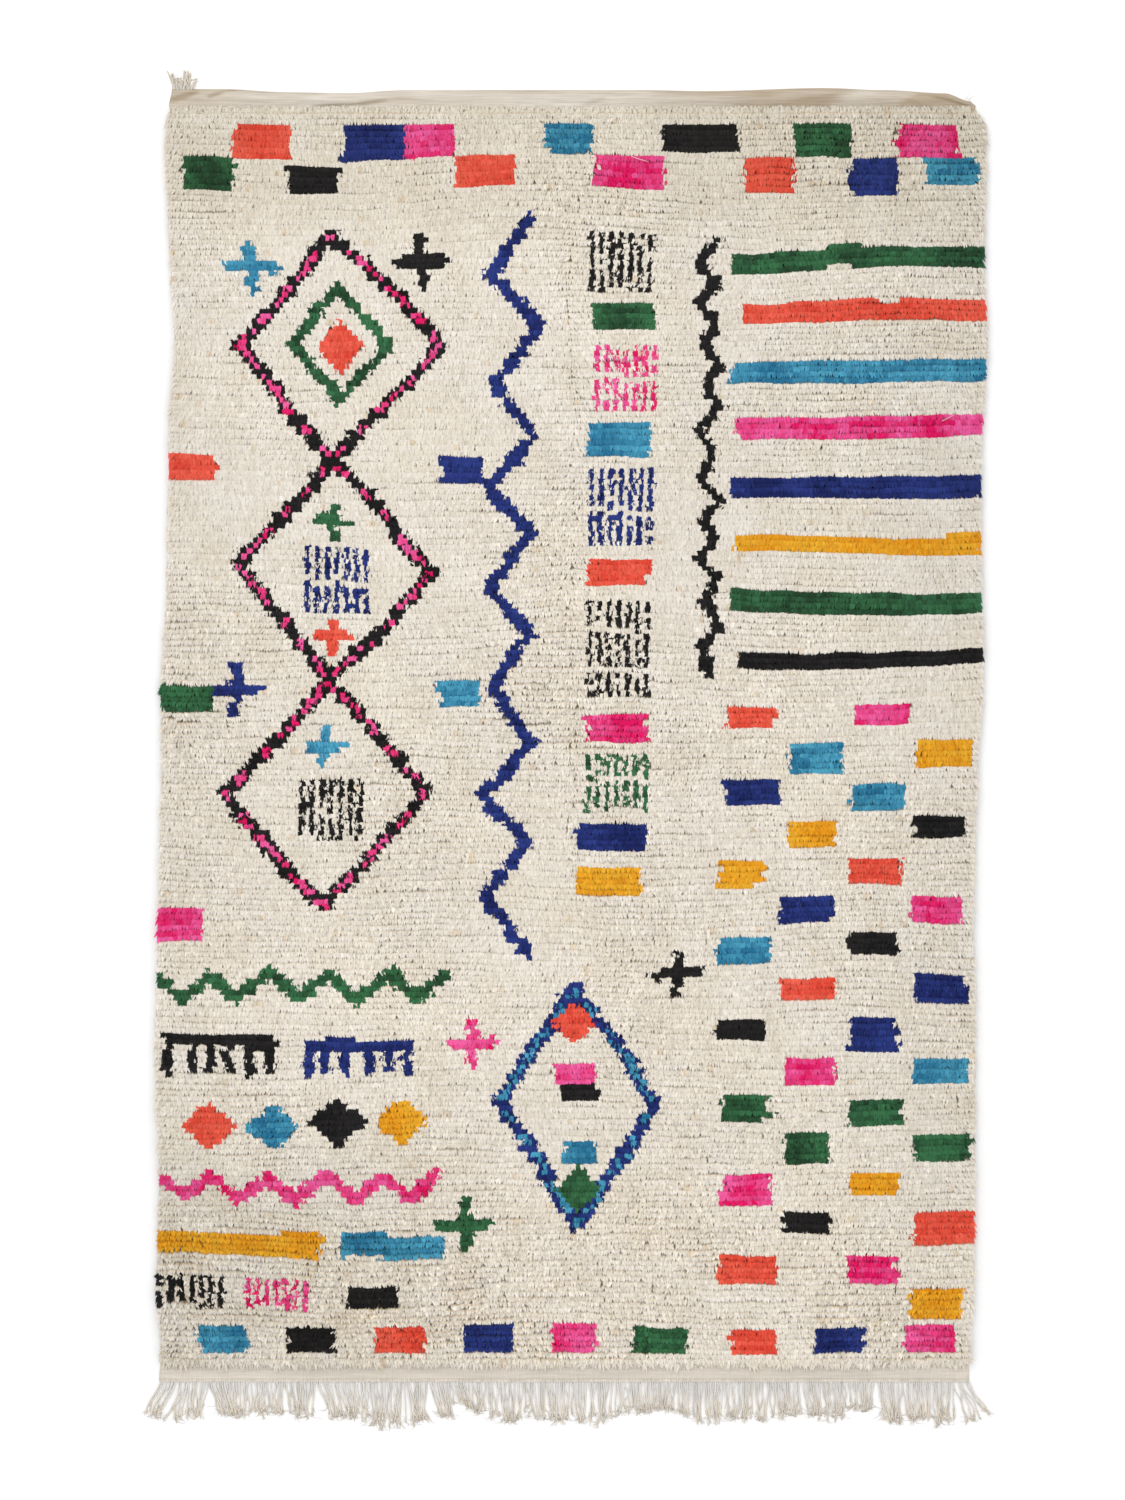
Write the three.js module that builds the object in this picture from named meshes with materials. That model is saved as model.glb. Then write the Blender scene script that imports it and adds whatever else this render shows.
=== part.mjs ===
import * as THREE from "three";

// A hand-knotted wool rug that lies flat on the floor with its pile up, in millimetres. X runs
// across the rug, Y along it towards the end without a fringe, and Z up.

// Sizes of the whole rug
const RUG_LENGTH = 2500; // one flat-woven end to the other, without the fringe
const PILE_TOP = 17; // mean height of the pile's surface over the floor
const PILE_LUMPS = 2.4; // how far that surface rises and sinks
const WEAVE_THICKNESS = 3; // ground weave, which shows as a flat end past the pile
const FRINGED_END = 35; // how much flat weave shows at the fringed end
const PLAIN_END = 30; // and at the other end
const PIECE_GAP = 0.3;

// Rim of the pile, where locks of wool stick out over the weave
const CORNER_RADIUS = 24;
const CORNER_STEPS = 4;
const LOCK_PITCH = 17; // from a lock's tip to the notch beside it
const SIDE_LOCK = { tip: 1, notch: -3.5 }; // how far they lie past the pile's outline
const END_LOCK = { tip: 9, notch: -1 };
const LOCK_UNEVEN = 0.25; // share of its reach by which a lock's tip falls short or goes past
const LOCK_HEIGHT = 7;
const LOCK_DROOP = 1.5; // how far a lock's tip may lie over or under that height
const WEAVE_INSET = 4; // from the pile's outline to the edge of the weave beneath
const FOOT_INSET = 5.5; // to where the pile stands on the weave
const CREST_INSET = 13; // to where it reaches its full height
const CREST_FOLLOWS = 0.3; // share of the locks' zigzag that still shows there
const CREST_DROP = 2.5;
const CREST_LUMPS = 1.5;
const FIELD_INSET = 38; // to the first row of lumps
const LUMP_PITCH = 50;

// Flat-woven ends
const END_ROWS = [0.34, 0.67]; // rows of points between the weave's edge and the pile
const WEAVE_WAVE = 0.4; // unevenness of the ground weave

// Fringe
const STRIP_DEPTH = 6; // last bit of the weave, which holds the strands' roots
const STRIP_POINT_PITCH = 60;
const STRAND_PITCH = 8.2;
// Sections along a strand, at shares of its reach and of its lean to one side
const STRAND_SECTIONS = [
  { reached: 0, leant: 0, width: 3.4, height: WEAVE_THICKNESS },
  { reached: 0.3, leant: 0.22, width: 2.9, height: 2.8 },
  { reached: 0.65, leant: 0.56, width: 2.4, height: 2.4 },
  { reached: 1, leant: 1, width: 1.9, height: 1.9 },
];
const UNEVEN_REACH = 0.07; // how much neighbouring strands differ in reach

// Distance of each side from the middle line, going down the rug from its plain end
const SIDES = [
  { down: 0, left: 772, right: 776 },
  { down: 30, left: 778, right: 785 },
  { down: 66, left: 782, right: 803 },
  { down: 230, left: 778, right: 799 },
  { down: 350, left: 772, right: 799 },
  { down: 465, left: 765, right: 805 },
  { down: 700, left: 776, right: 793 },
  { down: 930, left: 780, right: 792 },
  { down: 1160, left: 792, right: 797 },
  { down: 1280, left: 790, right: 786 },
  { down: 1620, left: 797, right: 778 },
  { down: 1850, left: 803, right: 782 },
  { down: 2100, left: 795, right: 780 },
  { down: 2320, left: 801, right: 778 },
  { down: 2415, left: 792, right: 774 },
  { down: 2500, left: 797, right: 772 },
];

// Plain end: how far its edge rises past the rug's length, and how high the weave rolls up there
const PLAIN_EDGE = [
  { across: -800, rise: 4, roll: 1 },
  { across: -668, rise: 4, roll: 3 },
  { across: -552, rise: -2, roll: 2 },
  { across: -436, rise: -4, roll: 4 },
  { across: -320, rise: 2, roll: 1.5 },
  { across: 144, rise: 2, roll: 2.5 },
  { across: 260, rise: 0, roll: 4 },
  { across: 492, rise: 6, roll: 7 },
  { across: 608, rise: 2, roll: 6 },
  { across: 724, rise: -4, roll: 3 },
  { across: 776, rise: -20, roll: 0 },
];

// Clumps of the fringe from left to right. Each clump's roots start at root and end where the next
// clump's start; its tips spread from tipFrom to tipTo and reach down by reachFrom to reachTo.
const CLUMPS = [
  { root: -797, tipFrom: -833, tipTo: -800, reachFrom: 60, reachTo: 74 },
  { root: -767, tipFrom: -790, tipTo: -748, reachFrom: 78, reachTo: 76 },
  { root: -738, tipFrom: -742, tipTo: -716, reachFrom: 68, reachTo: 64 },
  { root: -703, tipFrom: -681, tipTo: -624, reachFrom: 62, reachTo: 68 },
  { root: -620, tipFrom: -615, tipTo: -558, reachFrom: 64, reachTo: 60 },
  { root: -554, tipFrom: -542, tipTo: -498, reachFrom: 66, reachTo: 70 },
  { root: -492, tipFrom: -464, tipTo: -392, reachFrom: 68, reachTo: 74 },
  { root: -391, tipFrom: -380, tipTo: -355, reachFrom: 84, reachTo: 86 },
  { root: -356, tipFrom: -349, tipTo: -323, reachFrom: 82, reachTo: 80 },
  { root: -320, tipFrom: -306, tipTo: -282, reachFrom: 78, reachTo: 80 },
  { root: -277, tipFrom: -255, tipTo: -232, reachFrom: 66, reachTo: 70 },
  { root: -235, tipFrom: -222, tipTo: -160, reachFrom: 42, reachTo: 70 },
  { root: -163, tipFrom: -154, tipTo: -95, reachFrom: 70, reachTo: 76 },
  { root: -92, tipFrom: -82, tipTo: -49, reachFrom: 62, reachTo: 76 },
  { root: -49, tipFrom: -43, tipTo: 86, reachFrom: 80, reachTo: 72 },
  { root: 90, tipFrom: 95, tipTo: 198, reachFrom: 66, reachTo: 55 },
  { root: 202, tipFrom: 206, tipTo: 246, reachFrom: 62, reachTo: 72 },
  { root: 248, tipFrom: 253, tipTo: 291, reachFrom: 80, reachTo: 82 },
  { root: 293, tipFrom: 299, tipTo: 389, reachFrom: 72, reachTo: 74 },
  { root: 391, tipFrom: 396, tipTo: 436, reachFrom: 72, reachTo: 68 },
  { root: 444, tipFrom: 474, tipTo: 529, reachFrom: 66, reachTo: 72 },
  { root: 531, tipFrom: 536, tipTo: 590, reachFrom: 56, reachTo: 54 },
  { root: 592, tipFrom: 605, tipTo: 641, reachFrom: 78, reachTo: 84 },
  { root: 643, tipFrom: 650, tipTo: 699, reachFrom: 76, reachTo: 74 },
  { root: 701, tipFrom: 705, tipTo: 737, reachFrom: 82, reachTo: 80 },
  { root: 741, tipFrom: 766, tipTo: 808, reachFrom: 90, reachTo: 64 },
];

// Loose warp ends at one corner of the plain end, from left to right
const TUFT_LEFT = -770;
const TUFT_WIDTH = 44;
const TUFT_STRANDS = [
  { root: 4, tip: -1, reach: 32 },
  { root: 10, tip: 8, reach: 18 },
  { root: 16, tip: 14, reach: 25 },
  { root: 22, tip: 21, reach: 20 },
  { root: 28, tip: 29, reach: 34 },
  { root: 34, tip: 36, reach: 30 },
  { root: 40, tip: 45, reach: 19 },
];

// Colours as the wool and the cotton show them
const WOOL_COLOUR = 0xe9dfcf;
const WARP_COLOUR = 0xe6dccd;

const HALF_LENGTH = RUG_LENGTH / 2;
const WEAVE_BOTTOM = -HALF_LENGTH + STRIP_DEPTH;
const PILE_BOTTOM = -HALF_LENGTH + FRINGED_END;
const PILE_END = HALF_LENGTH - PLAIN_END;

const { lerp, smoothstep, degToRad } = THREE.MathUtils;

// An even spread of numbers between -1 and 1 that looks like chance and is the same every time
function scatter(seed) {
  const wave = Math.sin(seed * 12.9898 + 4.1414) * 43758.5453;
  return 2 * (wave - Math.floor(wave)) - 1;
}

// The row of a table that belongs to a place between two of its rows
function between(table, key, place) {
  let i = 0;
  while (i < table.length - 2 && place > table[i + 1][key]) {
    i += 1;
  }
  const [before, after] = [table[i], table[i + 1]];
  const share = smoothstep(place, before[key], after[key]);
  const columns = Object.keys(before).map((column) => [column, lerp(before[column], after[column], share)]);
  return Object.fromEntries(columns);
}

function evenly(from, to, pitch) {
  const steps = Math.max(1, Math.round(Math.abs(to - from) / pitch));
  return Array.from({ length: steps + 1 }, (_, i) => lerp(from, to, i / steps));
}

// The closed skin of one solid, made of bands between rows of points. For someone who walks along
// two rows on the outside of the solid, the first row is at the right hand, the second at the left.
class Skin {
  constructor() {
    this.points = [];
    this.triangles = [];
  }

  row(places) {
    const first = this.points.length;
    this.points.push(...places.map(([x, y, z]) => new THREE.Vector3(x, y, z)));
    return places.map((_, i) => first + i);
  }

  gap(a, b) {
    return this.points[a].distanceToSquared(this.points[b]);
  }

  band(right, left) {
    let r = 0;
    let l = 0;
    while (r < right.length - 1 || l < left.length - 1) {
      const ahead = r < right.length - 1 ? this.gap(right[r + 1], left[l]) : Infinity;
      const across = l < left.length - 1 ? this.gap(right[r], left[l + 1]) : Infinity;
      if (ahead < across) {
        this.triangles.push(right[r], right[r + 1], left[l]);
        r += 1;
      } else {
        this.triangles.push(right[r], left[l + 1], left[l]);
        l += 1;
      }
    }
  }

  mesh(name, colour) {
    const geometry = new THREE.BufferGeometry().setFromPoints(this.points);
    geometry.setIndex(this.triangles);
    geometry.computeVertexNormals();
    const material = new THREE.MeshStandardMaterial({ color: colour, roughness: 0.95, metalness: 0 });
    const mesh = new THREE.Mesh(geometry, material);
    mesh.name = name;
    return mesh;
  }
}

// Where the pile's outline lies at one side, -1 for the left and 1 for the right
function sideAt(side, y) {
  const row = between(SIDES, "down", HALF_LENGTH - y);
  return side < 0 ? -row.left : row.right;
}

function plainEdge(x) {
  return HALF_LENGTH + between(PLAIN_EDGE, "across", x).rise;
}

// Height of the ground weave's upper face, which rolls up along the plain end
function weaveTop(x, y) {
  const wave = WEAVE_WAVE * (1 + Math.sin(x / 61) * Math.cos(y / 17));
  const past = THREE.MathUtils.clamp((y - PILE_END) / PLAIN_END, 0, 1);
  const roll = between(PLAIN_EDGE, "across", x).roll * Math.sin(Math.PI * past) ** 2;
  return WEAVE_THICKNESS + wave + roll;
}

// The pile's outline as a closed walk, left end first along the fringe, with the way out at each point
function pileOutline() {
  const corners = [
    { side: -1, end: -1, from: 225 },
    { side: 1, end: -1, from: 270 },
    { side: 1, end: 1, from: 0 },
    { side: -1, end: 1, from: 90 },
    { side: -1, end: -1, from: 180 },
  ];
  const outline = [];
  corners.forEach(({ side, end, from }, i) => {
    const y = end < 0 ? PILE_BOTTOM + CORNER_RADIUS : PILE_END - CORNER_RADIUS;
    const x = sideAt(side, y) - side * CORNER_RADIUS;
    const turn = i === 0 || i === corners.length - 1 ? 45 : 90;
    for (const angle of evenly(from, from + turn, 90 / CORNER_STEPS)) {
      const [outX, outY] = [Math.cos(degToRad(angle)), Math.sin(degToRad(angle))];
      outline.push({ x: x + outX * CORNER_RADIUS, y: y + outY * CORNER_RADIUS, outX, outY });
    }
    if (i < corners.length - 1) {
      outline.push(...outlineBetweenCorners(outline.at(-1), corners[i + 1]));
    }
  });
  outline.pop(); // the walk ends where it began
  return outline;
}

// The stretch from the end of one corner to the start of the next
function outlineBetweenCorners(start, next) {
  const nextY = next.end < 0 ? PILE_BOTTOM + CORNER_RADIUS : PILE_END - CORNER_RADIUS;
  const alongEnd = Math.abs(start.outY) > 0.5;
  if (alongEnd) {
    const stopX = sideAt(next.side, nextY) - next.side * CORNER_RADIUS;
    const stations = evenly(start.x, stopX, LOCK_PITCH).slice(1, -1);
    return stations.map((x) => ({ x, y: start.y, outX: 0, outY: start.outY }));
  }
  const stations = evenly(start.y, nextY, LOCK_PITCH).slice(1, -1);
  return stations.map((y) => ({ x: sideAt(next.side, y), y, outX: start.outX, outY: 0 }));
}

// A ring of points round the pile, moved out from its outline and raised by functions of the step
function ring(skin, outline, outBy, height) {
  const places = outline.map((point, i) => {
    const out = outBy(point, i);
    const [x, y] = [point.x + point.outX * out, point.y + point.outY * out];
    return [x, y, height(x, y, i)];
  });
  const row = skin.row(places);
  return [...row, row[0]];
}

function lockReach(point, i) {
  const lock = Math.abs(point.outY) > 0.5 ? END_LOCK : SIDE_LOCK;
  return i % 2 === 0 ? lock.tip * (1 + LOCK_UNEVEN * scatter(i)) : lock.notch;
}

// The lumpy upper face of the pile: rows of points that run from left to right
function pileField(skin) {
  const rows = evenly(PILE_BOTTOM + FIELD_INSET, PILE_END - FIELD_INSET, LUMP_PITCH);
  const columns = Math.round((sideAt(1, 0) - sideAt(-1, 0)) / LUMP_PITCH);
  return rows.map((y, j) => {
    const [left, right] = [sideAt(-1, y) + FIELD_INSET, sideAt(1, y) - FIELD_INSET];
    const places = Array.from({ length: columns + 1 }, (_, i) => {
      const lump = PILE_LUMPS * scatter(i + columns * j);
      return [lerp(left, right, i / columns), y, PILE_TOP + lump];
    });
    return skin.row(places);
  });
}

function borderOf(rows) {
  const last = rows.length - 1;
  const right = rows.slice(1, last).map((row) => row.at(-1));
  const left = rows.slice(1, last).map((row) => row[0]);
  return [...rows[0], ...right, ...rows[last].toReversed(), ...left.toReversed(), rows[0][0]];
}

// One row of the ground weave from side to side, with its plan, where lineAt gives y for each x
function weaveRow(skin, lineAt, xCount) {
  const middle = lineAt(0);
  const [left, right] = [sideAt(-1, middle) + WEAVE_INSET, sideAt(1, middle) - WEAVE_INSET];
  const plan = Array.from({ length: xCount }, (_, i) => {
    const x = lerp(left, right, i / (xCount - 1));
    return [x, lineAt(x)];
  });
  const top = skin.row(plan.map(([x, y]) => [x, y, weaveTop(x, y)]));
  return { top, plan };
}

// The whole rug but its fringe: ground weave, flat ends and pile in one solid
function rug() {
  const skin = new Skin();
  const xCount = 1 + Math.round((sideAt(1, 0) - sideAt(-1, 0)) / LUMP_PITCH);

  const fringedShares = [0, ...END_ROWS];
  const fringedRows = fringedShares.map((share) => {
    const y = lerp(WEAVE_BOTTOM, PILE_BOTTOM, share);
    return weaveRow(skin, () => y, xCount);
  });
  const plainRows = fringedShares.map((share) => {
    return weaveRow(skin, (x) => lerp(plainEdge(x), PILE_END, share), xCount);
  });
  const sideStations = evenly(PILE_BOTTOM, PILE_END, LUMP_PITCH);
  const sideRows = sideStations.map((y) => weaveRow(skin, () => y, 2));

  // Upper face of the weave, from its edges to the foot of the pile
  const outline = pileOutline();
  const foot = ring(skin, outline, () => -FOOT_INSET, weaveTop);
  const turns = [0, 1, 2, 3].map((i) => cornerIndex(outline, i));
  const footSides = turns.map((start, i) => foot.slice(start, (turns[i + 1] ?? outline.length) + 1));
  const [firstSide, lastSide] = [sideRows[0], sideRows.at(-1)];
  for (let i = 1; i < fringedRows.length; i += 1) {
    skin.band(fringedRows[i - 1].top, fringedRows[i].top);
    skin.band(plainRows[i].top, plainRows[i - 1].top);
  }
  const bottomFoot = [firstSide.top[0], ...footSides[0], firstSide.top[1]];
  const topFoot = [lastSide.top[1], ...footSides[2], lastSide.top[0]];
  skin.band(fringedRows.at(-1).top, bottomFoot);
  skin.band(plainRows.at(-1).top.toReversed(), topFoot);
  skin.band(sideRows.map((row) => row.top[1]), footSides[1]);
  skin.band(sideRows.map((row) => row.top[0]).toReversed(), footSides[3]);

  // Pile: locks that stand out over the foot, the crest behind them and the lumpy field
  const locks = ring(skin, outline, lockReach, (x, y, i) => LOCK_HEIGHT + LOCK_DROOP * scatter(i + 0.5));
  const crest = ring(
    skin,
    outline,
    (point, i) => -CREST_INSET + CREST_FOLLOWS * lockReach(point, i),
    (x, y, i) => PILE_TOP - CREST_DROP + CREST_LUMPS * scatter(i + 0.25),
  );
  const field = pileField(skin);
  skin.band(foot, locks);
  skin.band(locks, crest);
  skin.band(crest, borderOf(field));
  for (let j = 1; j < field.length; j += 1) {
    skin.band(field[j - 1], field[j]);
  }

  // Edge and flat underside of the weave
  const allRows = [...fringedRows, ...sideRows, ...plainRows.toReversed()];
  const edgeRows = allRows.map(({ top, plan }, j) => {
    const whole = j === 0 || j === allRows.length - 1;
    const ends = whole ? plan : [plan[0], plan.at(-1)];
    return { top: whole ? top : [top[0], top.at(-1)], floor: skin.row(ends.map(([x, y]) => [x, y, 0])) };
  });
  const [firstEdge, lastEdge] = [edgeRows[0], edgeRows.at(-1)];
  skin.band(firstEdge.floor, firstEdge.top);
  skin.band(lastEdge.floor.toReversed(), lastEdge.top.toReversed());
  skin.band(edgeRows.map((row) => row.floor.at(-1)), edgeRows.map((row) => row.top.at(-1)));
  skin.band(edgeRows.map((row) => row.floor[0]).toReversed(), edgeRows.map((row) => row.top[0]).toReversed());
  for (let j = 1; j < edgeRows.length; j += 1) {
    skin.band(edgeRows[j].floor, edgeRows[j - 1].floor);
  }
  return skin.mesh("rug", WOOL_COLOUR);
}

// The step of the outline at the middle of a corner, counted from the first
function cornerIndex(outline, corner) {
  const signs = [[-1, -1], [1, -1], [1, 1], [-1, 1]][corner];
  const fit = (point) => point.outX * signs[0] + point.outY * signs[1];
  const best = Math.max(...outline.map(fit));
  return outline.findIndex((point) => fit(point) > best - 1e-9);
}

// One strand's rows of points: its two lower edges, which lie on the floor, and the ridge above.
// It runs from its root at the strip's front towards -Y.
function strandRows({ root, tip, reach }) {
  const rows = { minus: [], ridge: [], plus: [] };
  for (const { reached, leant, width, height } of STRAND_SECTIONS) {
    const x = lerp(root, tip, leant);
    const y = -STRIP_DEPTH - reach * reached;
    const turn = reached === 0 ? 0 : Math.atan((tip - root) / reach);
    const [sideX, sideY] = [(width / 2) * Math.cos(turn), (width / 2) * Math.sin(turn)];
    rows.minus.push([x - sideX, y - sideY, 0]);
    rows.ridge.push([x, y, height]);
    rows.plus.push([x + sideX, y + sideY, 0]);
  }
  return rows;
}

// A strip of weave from x = 0 to its width, with strands that stand apart but for their roots in it
function fringe(name, width, strands) {
  const skin = new Skin();
  const frontFloor = [];
  const frontTop = [];
  const addCorner = (x) => {
    frontFloor.push(...skin.row([[x, -STRIP_DEPTH, 0]]));
    frontTop.push(...skin.row([[x, -STRIP_DEPTH, WEAVE_THICKNESS]]));
  };
  addCorner(0);
  for (const strand of strands) {
    const rows = strandRows(strand);
    const [minus, ridge, plus] = [skin.row(rows.minus), skin.row(rows.ridge), skin.row(rows.plus)];
    skin.band(minus, ridge);
    skin.band(ridge, plus);
    skin.band(plus, minus);
    skin.triangles.push(minus.at(-1), plus.at(-1), ridge.at(-1));
    skin.band([frontFloor.at(-1), minus[0]], [frontTop.at(-1), ridge[0]]);
    frontFloor.push(minus[0], plus[0]);
    frontTop.push(ridge[0]);
  }
  addCorner(width);
  skin.band(frontFloor.slice(-2), frontTop.slice(-2));

  const stations = evenly(0, width, STRIP_POINT_PITCH);
  const backFloor = skin.row(stations.map((x) => [x, 0, 0]));
  const backTop = skin.row(stations.map((x) => [x, 0, WEAVE_THICKNESS]));
  skin.band(frontTop, backTop);
  skin.band(backTop, backFloor);
  skin.band(backFloor, frontFloor);
  skin.band([frontTop[0], backTop[0]], [frontFloor[0], backFloor[0]]);
  skin.band([frontFloor.at(-1), backFloor.at(-1)], [frontTop.at(-1), backTop.at(-1)]);
  return skin.mesh(name, WARP_COLOUR);
}

// The knotted-off warp ends of the fringed end, in the clumps of the table
function clumpedStrands(left, width) {
  const count = Math.round(width / STRAND_PITCH);
  return Array.from({ length: count }, (_, i) => {
    const root = (i + 0.5) * (width / count);
    const index = CLUMPS.findLastIndex((clump) => clump.root - left <= root);
    const clump = CLUMPS[Math.max(index, 0)];
    const stop = CLUMPS[index + 1]?.root ?? left + width;
    const share = (root - (clump.root - left)) / (stop - clump.root);
    const uneven = 1 + UNEVEN_REACH * scatter(i * 1.7);
    return {
      root,
      tip: lerp(clump.tipFrom, clump.tipTo, share) - left,
      reach: lerp(clump.reachFrom, clump.reachTo, share) * uneven,
    };
  });
}

function bottomFringe() {
  const left = sideAt(-1, -HALF_LENGTH) + WEAVE_INSET;
  const width = sideAt(1, -HALF_LENGTH) - WEAVE_INSET - left;
  const mesh = fringe("fringe_bottom", width, clumpedStrands(left, width));
  mesh.position.set(left, WEAVE_BOTTOM - PIECE_GAP, 0);
  return mesh;
}

// The loose warp ends stand the other way round: their strip is turned by half a turn
function cornerTuft() {
  const strands = TUFT_STRANDS.toReversed().map(({ root, tip, reach }) => {
    return { root: TUFT_WIDTH - root, tip: TUFT_WIDTH - tip, reach };
  });
  const mesh = fringe("corner_tuft", TUFT_WIDTH, strands);
  mesh.rotation.z = Math.PI;
  mesh.position.set(TUFT_LEFT + TUFT_WIDTH, plainEdge(TUFT_LEFT) + PIECE_GAP, 0);
  return mesh;
}

// The origin lies on the floor under the middle of the whole rug, fringe and loose ends included
const azilalRug = new THREE.Group();
azilalRug.name = "azilal_rug";
azilalRug.add(rug(), bottomFringe(), cornerTuft());
azilalRug.updateMatrixWorld(true);
const middle = new THREE.Box3().setFromObject(azilalRug, true).getCenter(new THREE.Vector3());
for (const piece of azilalRug.children) {
  piece.position.x -= middle.x;
  piece.position.y -= middle.y;
}

export default azilalRug;
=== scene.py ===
import math

import bpy
import numpy as np
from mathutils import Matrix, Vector


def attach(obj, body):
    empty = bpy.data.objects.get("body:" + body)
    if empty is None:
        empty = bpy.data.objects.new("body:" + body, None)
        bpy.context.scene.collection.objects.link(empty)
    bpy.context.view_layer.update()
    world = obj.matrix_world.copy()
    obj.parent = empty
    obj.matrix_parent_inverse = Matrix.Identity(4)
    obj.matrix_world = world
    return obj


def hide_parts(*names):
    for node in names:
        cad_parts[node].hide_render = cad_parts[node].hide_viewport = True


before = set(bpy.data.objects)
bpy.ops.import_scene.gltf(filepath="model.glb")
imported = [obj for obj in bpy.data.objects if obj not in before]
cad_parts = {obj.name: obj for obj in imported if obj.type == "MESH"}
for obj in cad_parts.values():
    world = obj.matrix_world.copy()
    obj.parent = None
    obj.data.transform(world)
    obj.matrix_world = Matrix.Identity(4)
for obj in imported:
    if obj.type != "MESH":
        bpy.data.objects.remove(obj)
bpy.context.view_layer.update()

# Sizes are in millimetres on the rug: across from its middle line to the right, down from its
# plain end towards its fringe, and up from the floor. Angles are in degrees.
MM = 0.001
MIDDLE_LINE_X = 9.4  # where the middle line lies in the frame
HALFWAY_Y = 22.7  # where the middle of the rug's length lies in the frame
RUG_LENGTH = 2500
PLAIN_END = 30
PILE_LAST = 2468  # where the pile ends at the fringe
WEAVE_THICKNESS = 3
WEAVE_INSET = 4  # from the pile's outline to the edge of the weave beneath
END_INSET = 0.5  # from the outline to the edge of the weave, at the flat-woven ends
STRIP_DEPTH = 6  # last bit of the weave, which holds the fringe
CORNER_RADIUS = 9
TURN = 2 * math.pi

# Camera straight above, as in the photograph, and soft light from the upper left, in metres
CAMERA_HEIGHT = 7.0
PILE_TOP = 0.015
FRAME_LENGTH = 2.8995  # what the picture's long side shows, at the top of the pile
FRAME_CENTRE = (-0.0061, -0.0031)
SENSOR = 36.0
FLOOR_HALF = 12.0
KEY_PLACE = (-2.0, 5.0, 5.0)
KEY_SIZE = (4, 3)
KEY_WATTS = 90

# Knots
ROWS = 231
FIRST_ROW = 37
LAST_ROW = 2446
ROW_PITCH = (LAST_ROW - FIRST_ROW) / (ROWS - 1)
KNOTS = 166
KNOT_PITCH = 9.5
SIDE_MARGIN = 4.5  # from the pile's outline to the first knot's edge
PILE_PIECES = 5
KNOTS_TAPER = 40  # how steeply the knots' drift fades at the sides
CALM_END = 60  # how far from the first and last row the rows wander less
ROW_WAVES = 4
ROW_WAVE_PITCH = (90, 600)
ROW_SWAY = 0.6

PILE_SEED = 11
SHADE_SEED = 12
ROW_SEED = 9
RIM_SEED = 31
PARTING_SEED = 41
FRINGE_SEED = 21
TUFT_SEED = 22
THREAD_SEED = 23

# Slow random waves over the rug: how strong they are, the size of their swells and their seed
SWELL_WAVES = 10
SWELL_PITCH = (1.4, 3.2)  # from swell to swell, in sizes
DRIFTS = {
    "knots": (3.5, 220, 1),
    "rows": (5, 260, 2),
    "ripples": (1, 55, 3),
    "rough": (0.15, 180, 4),
    "lean": (6, 150, 5),
    "run": (0.05, 70, 6),
    "lift": (0.06, 120, 7),
    "shade": (0.26, 60, 8),
    "tanned": (1, 140, 9),
    "plain": (0.15, 160, 12),
    "fringed": (0.05, 120, 13),
    "strip_edge": (0.5, 14, 14),
    "strip_height": (0.25, 9, 15),
    "strip_tone": (0.06, 20, 16),
    "fold": (5, 30, 17),
}


def table(columns, rows):
    """Arrays by column name, from rows of numbers."""
    return dict(zip(columns.split(), np.array(rows, dtype=float).T))


# Distance of each side from the middle line, going down the rug
SIDES = table("down left right", [
    (0, 772, 776),
    (30, 778, 785),
    (66, 782, 803),
    (230, 778, 799),
    (350, 772, 799),
    (465, 765, 805),
    (700, 776, 793),
    (930, 780, 792),
    (1160, 792, 797),
    (1280, 790, 786),
    (1620, 797, 778),
    (1850, 803, 782),
    (2100, 795, 780),
    (2320, 801, 778),
    (2415, 792, 774),
    (2500, 797, 772),
])

# Plain end: how far its edge rises past the rug's length, and how high the weave rolls up there
PLAIN_EDGE = table("across rise roll", [
    (-800, 4, 1),
    (-668, 4, 3),
    (-552, -2, 2),
    (-436, -4, 4),
    (-320, 2, 1.5),
    (144, 2, 2.5),
    (260, 0, 4),
    (492, 6, 7),
    (608, 2, 6),
    (724, -4, 3),
    (776, -20, 0),
])

# How dark the plain end is, from 0 to 1: partly painted shade in and beside its folds, partly the cloth's
# own tan
PLAIN_SHADE = table("across dark", [
    (-800, 0.40),
    (-700, 0.48),
    (-600, 0.40),
    (-540, 0.28),
    (-480, 0.06),
    (-200, 0.10),
    (100, 0.12),
    (290, 0.28),
    (370, 0.75),
    (500, 0.85),
    (552, 0.20),
    (640, 0.25),
    (672, 0.85),
    (740, 0.95),
    (780, 0.60),
])

# How dark the plain end's turned edge is on top of that, for FOLD_DEPTH from the edge: painted shade along
# the fold
FOLD_SHADE = table("across dark", [
    (-140, 0.0),
    (-60, 0.15),
    (0, 0.12),
    (100, 0.24),
    (330, 0.30),
    (430, 0.10),
    (520, 0.0),
])
FOLD_DEPTH = 15
SHADE_SLANT = 1.5  # how far shades shift to the left, for each millimetre down
EDGE_SHADE = 0.5  # how dark the very edge is
EDGE_SHADE_WIDTH = 3.5
LOW_SHADE = 0.02  # how dark the plain end gets towards the pile, and how much more at the right
LOW_RIGHT_SHADE = 0.28
LOW_RIGHT_ACROSS = (250, 500)
PILE_FOOT_PAINTED_LIGHT = 0.15  # painted light beside the pile, against the shade that the pile's edge casts there
PILE_FOOT_WIDTH = 6

# The plain end's turned edge, and how much thinner the weave is at its edge
HEM_HEIGHT = 1.1
HEM_DOWN = 4.5
HEM_WIDTH = 2.4
HEM_SWELL = 43
EDGE_THINNER = 0.45
EDGE_DEPTH = 0.8

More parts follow.
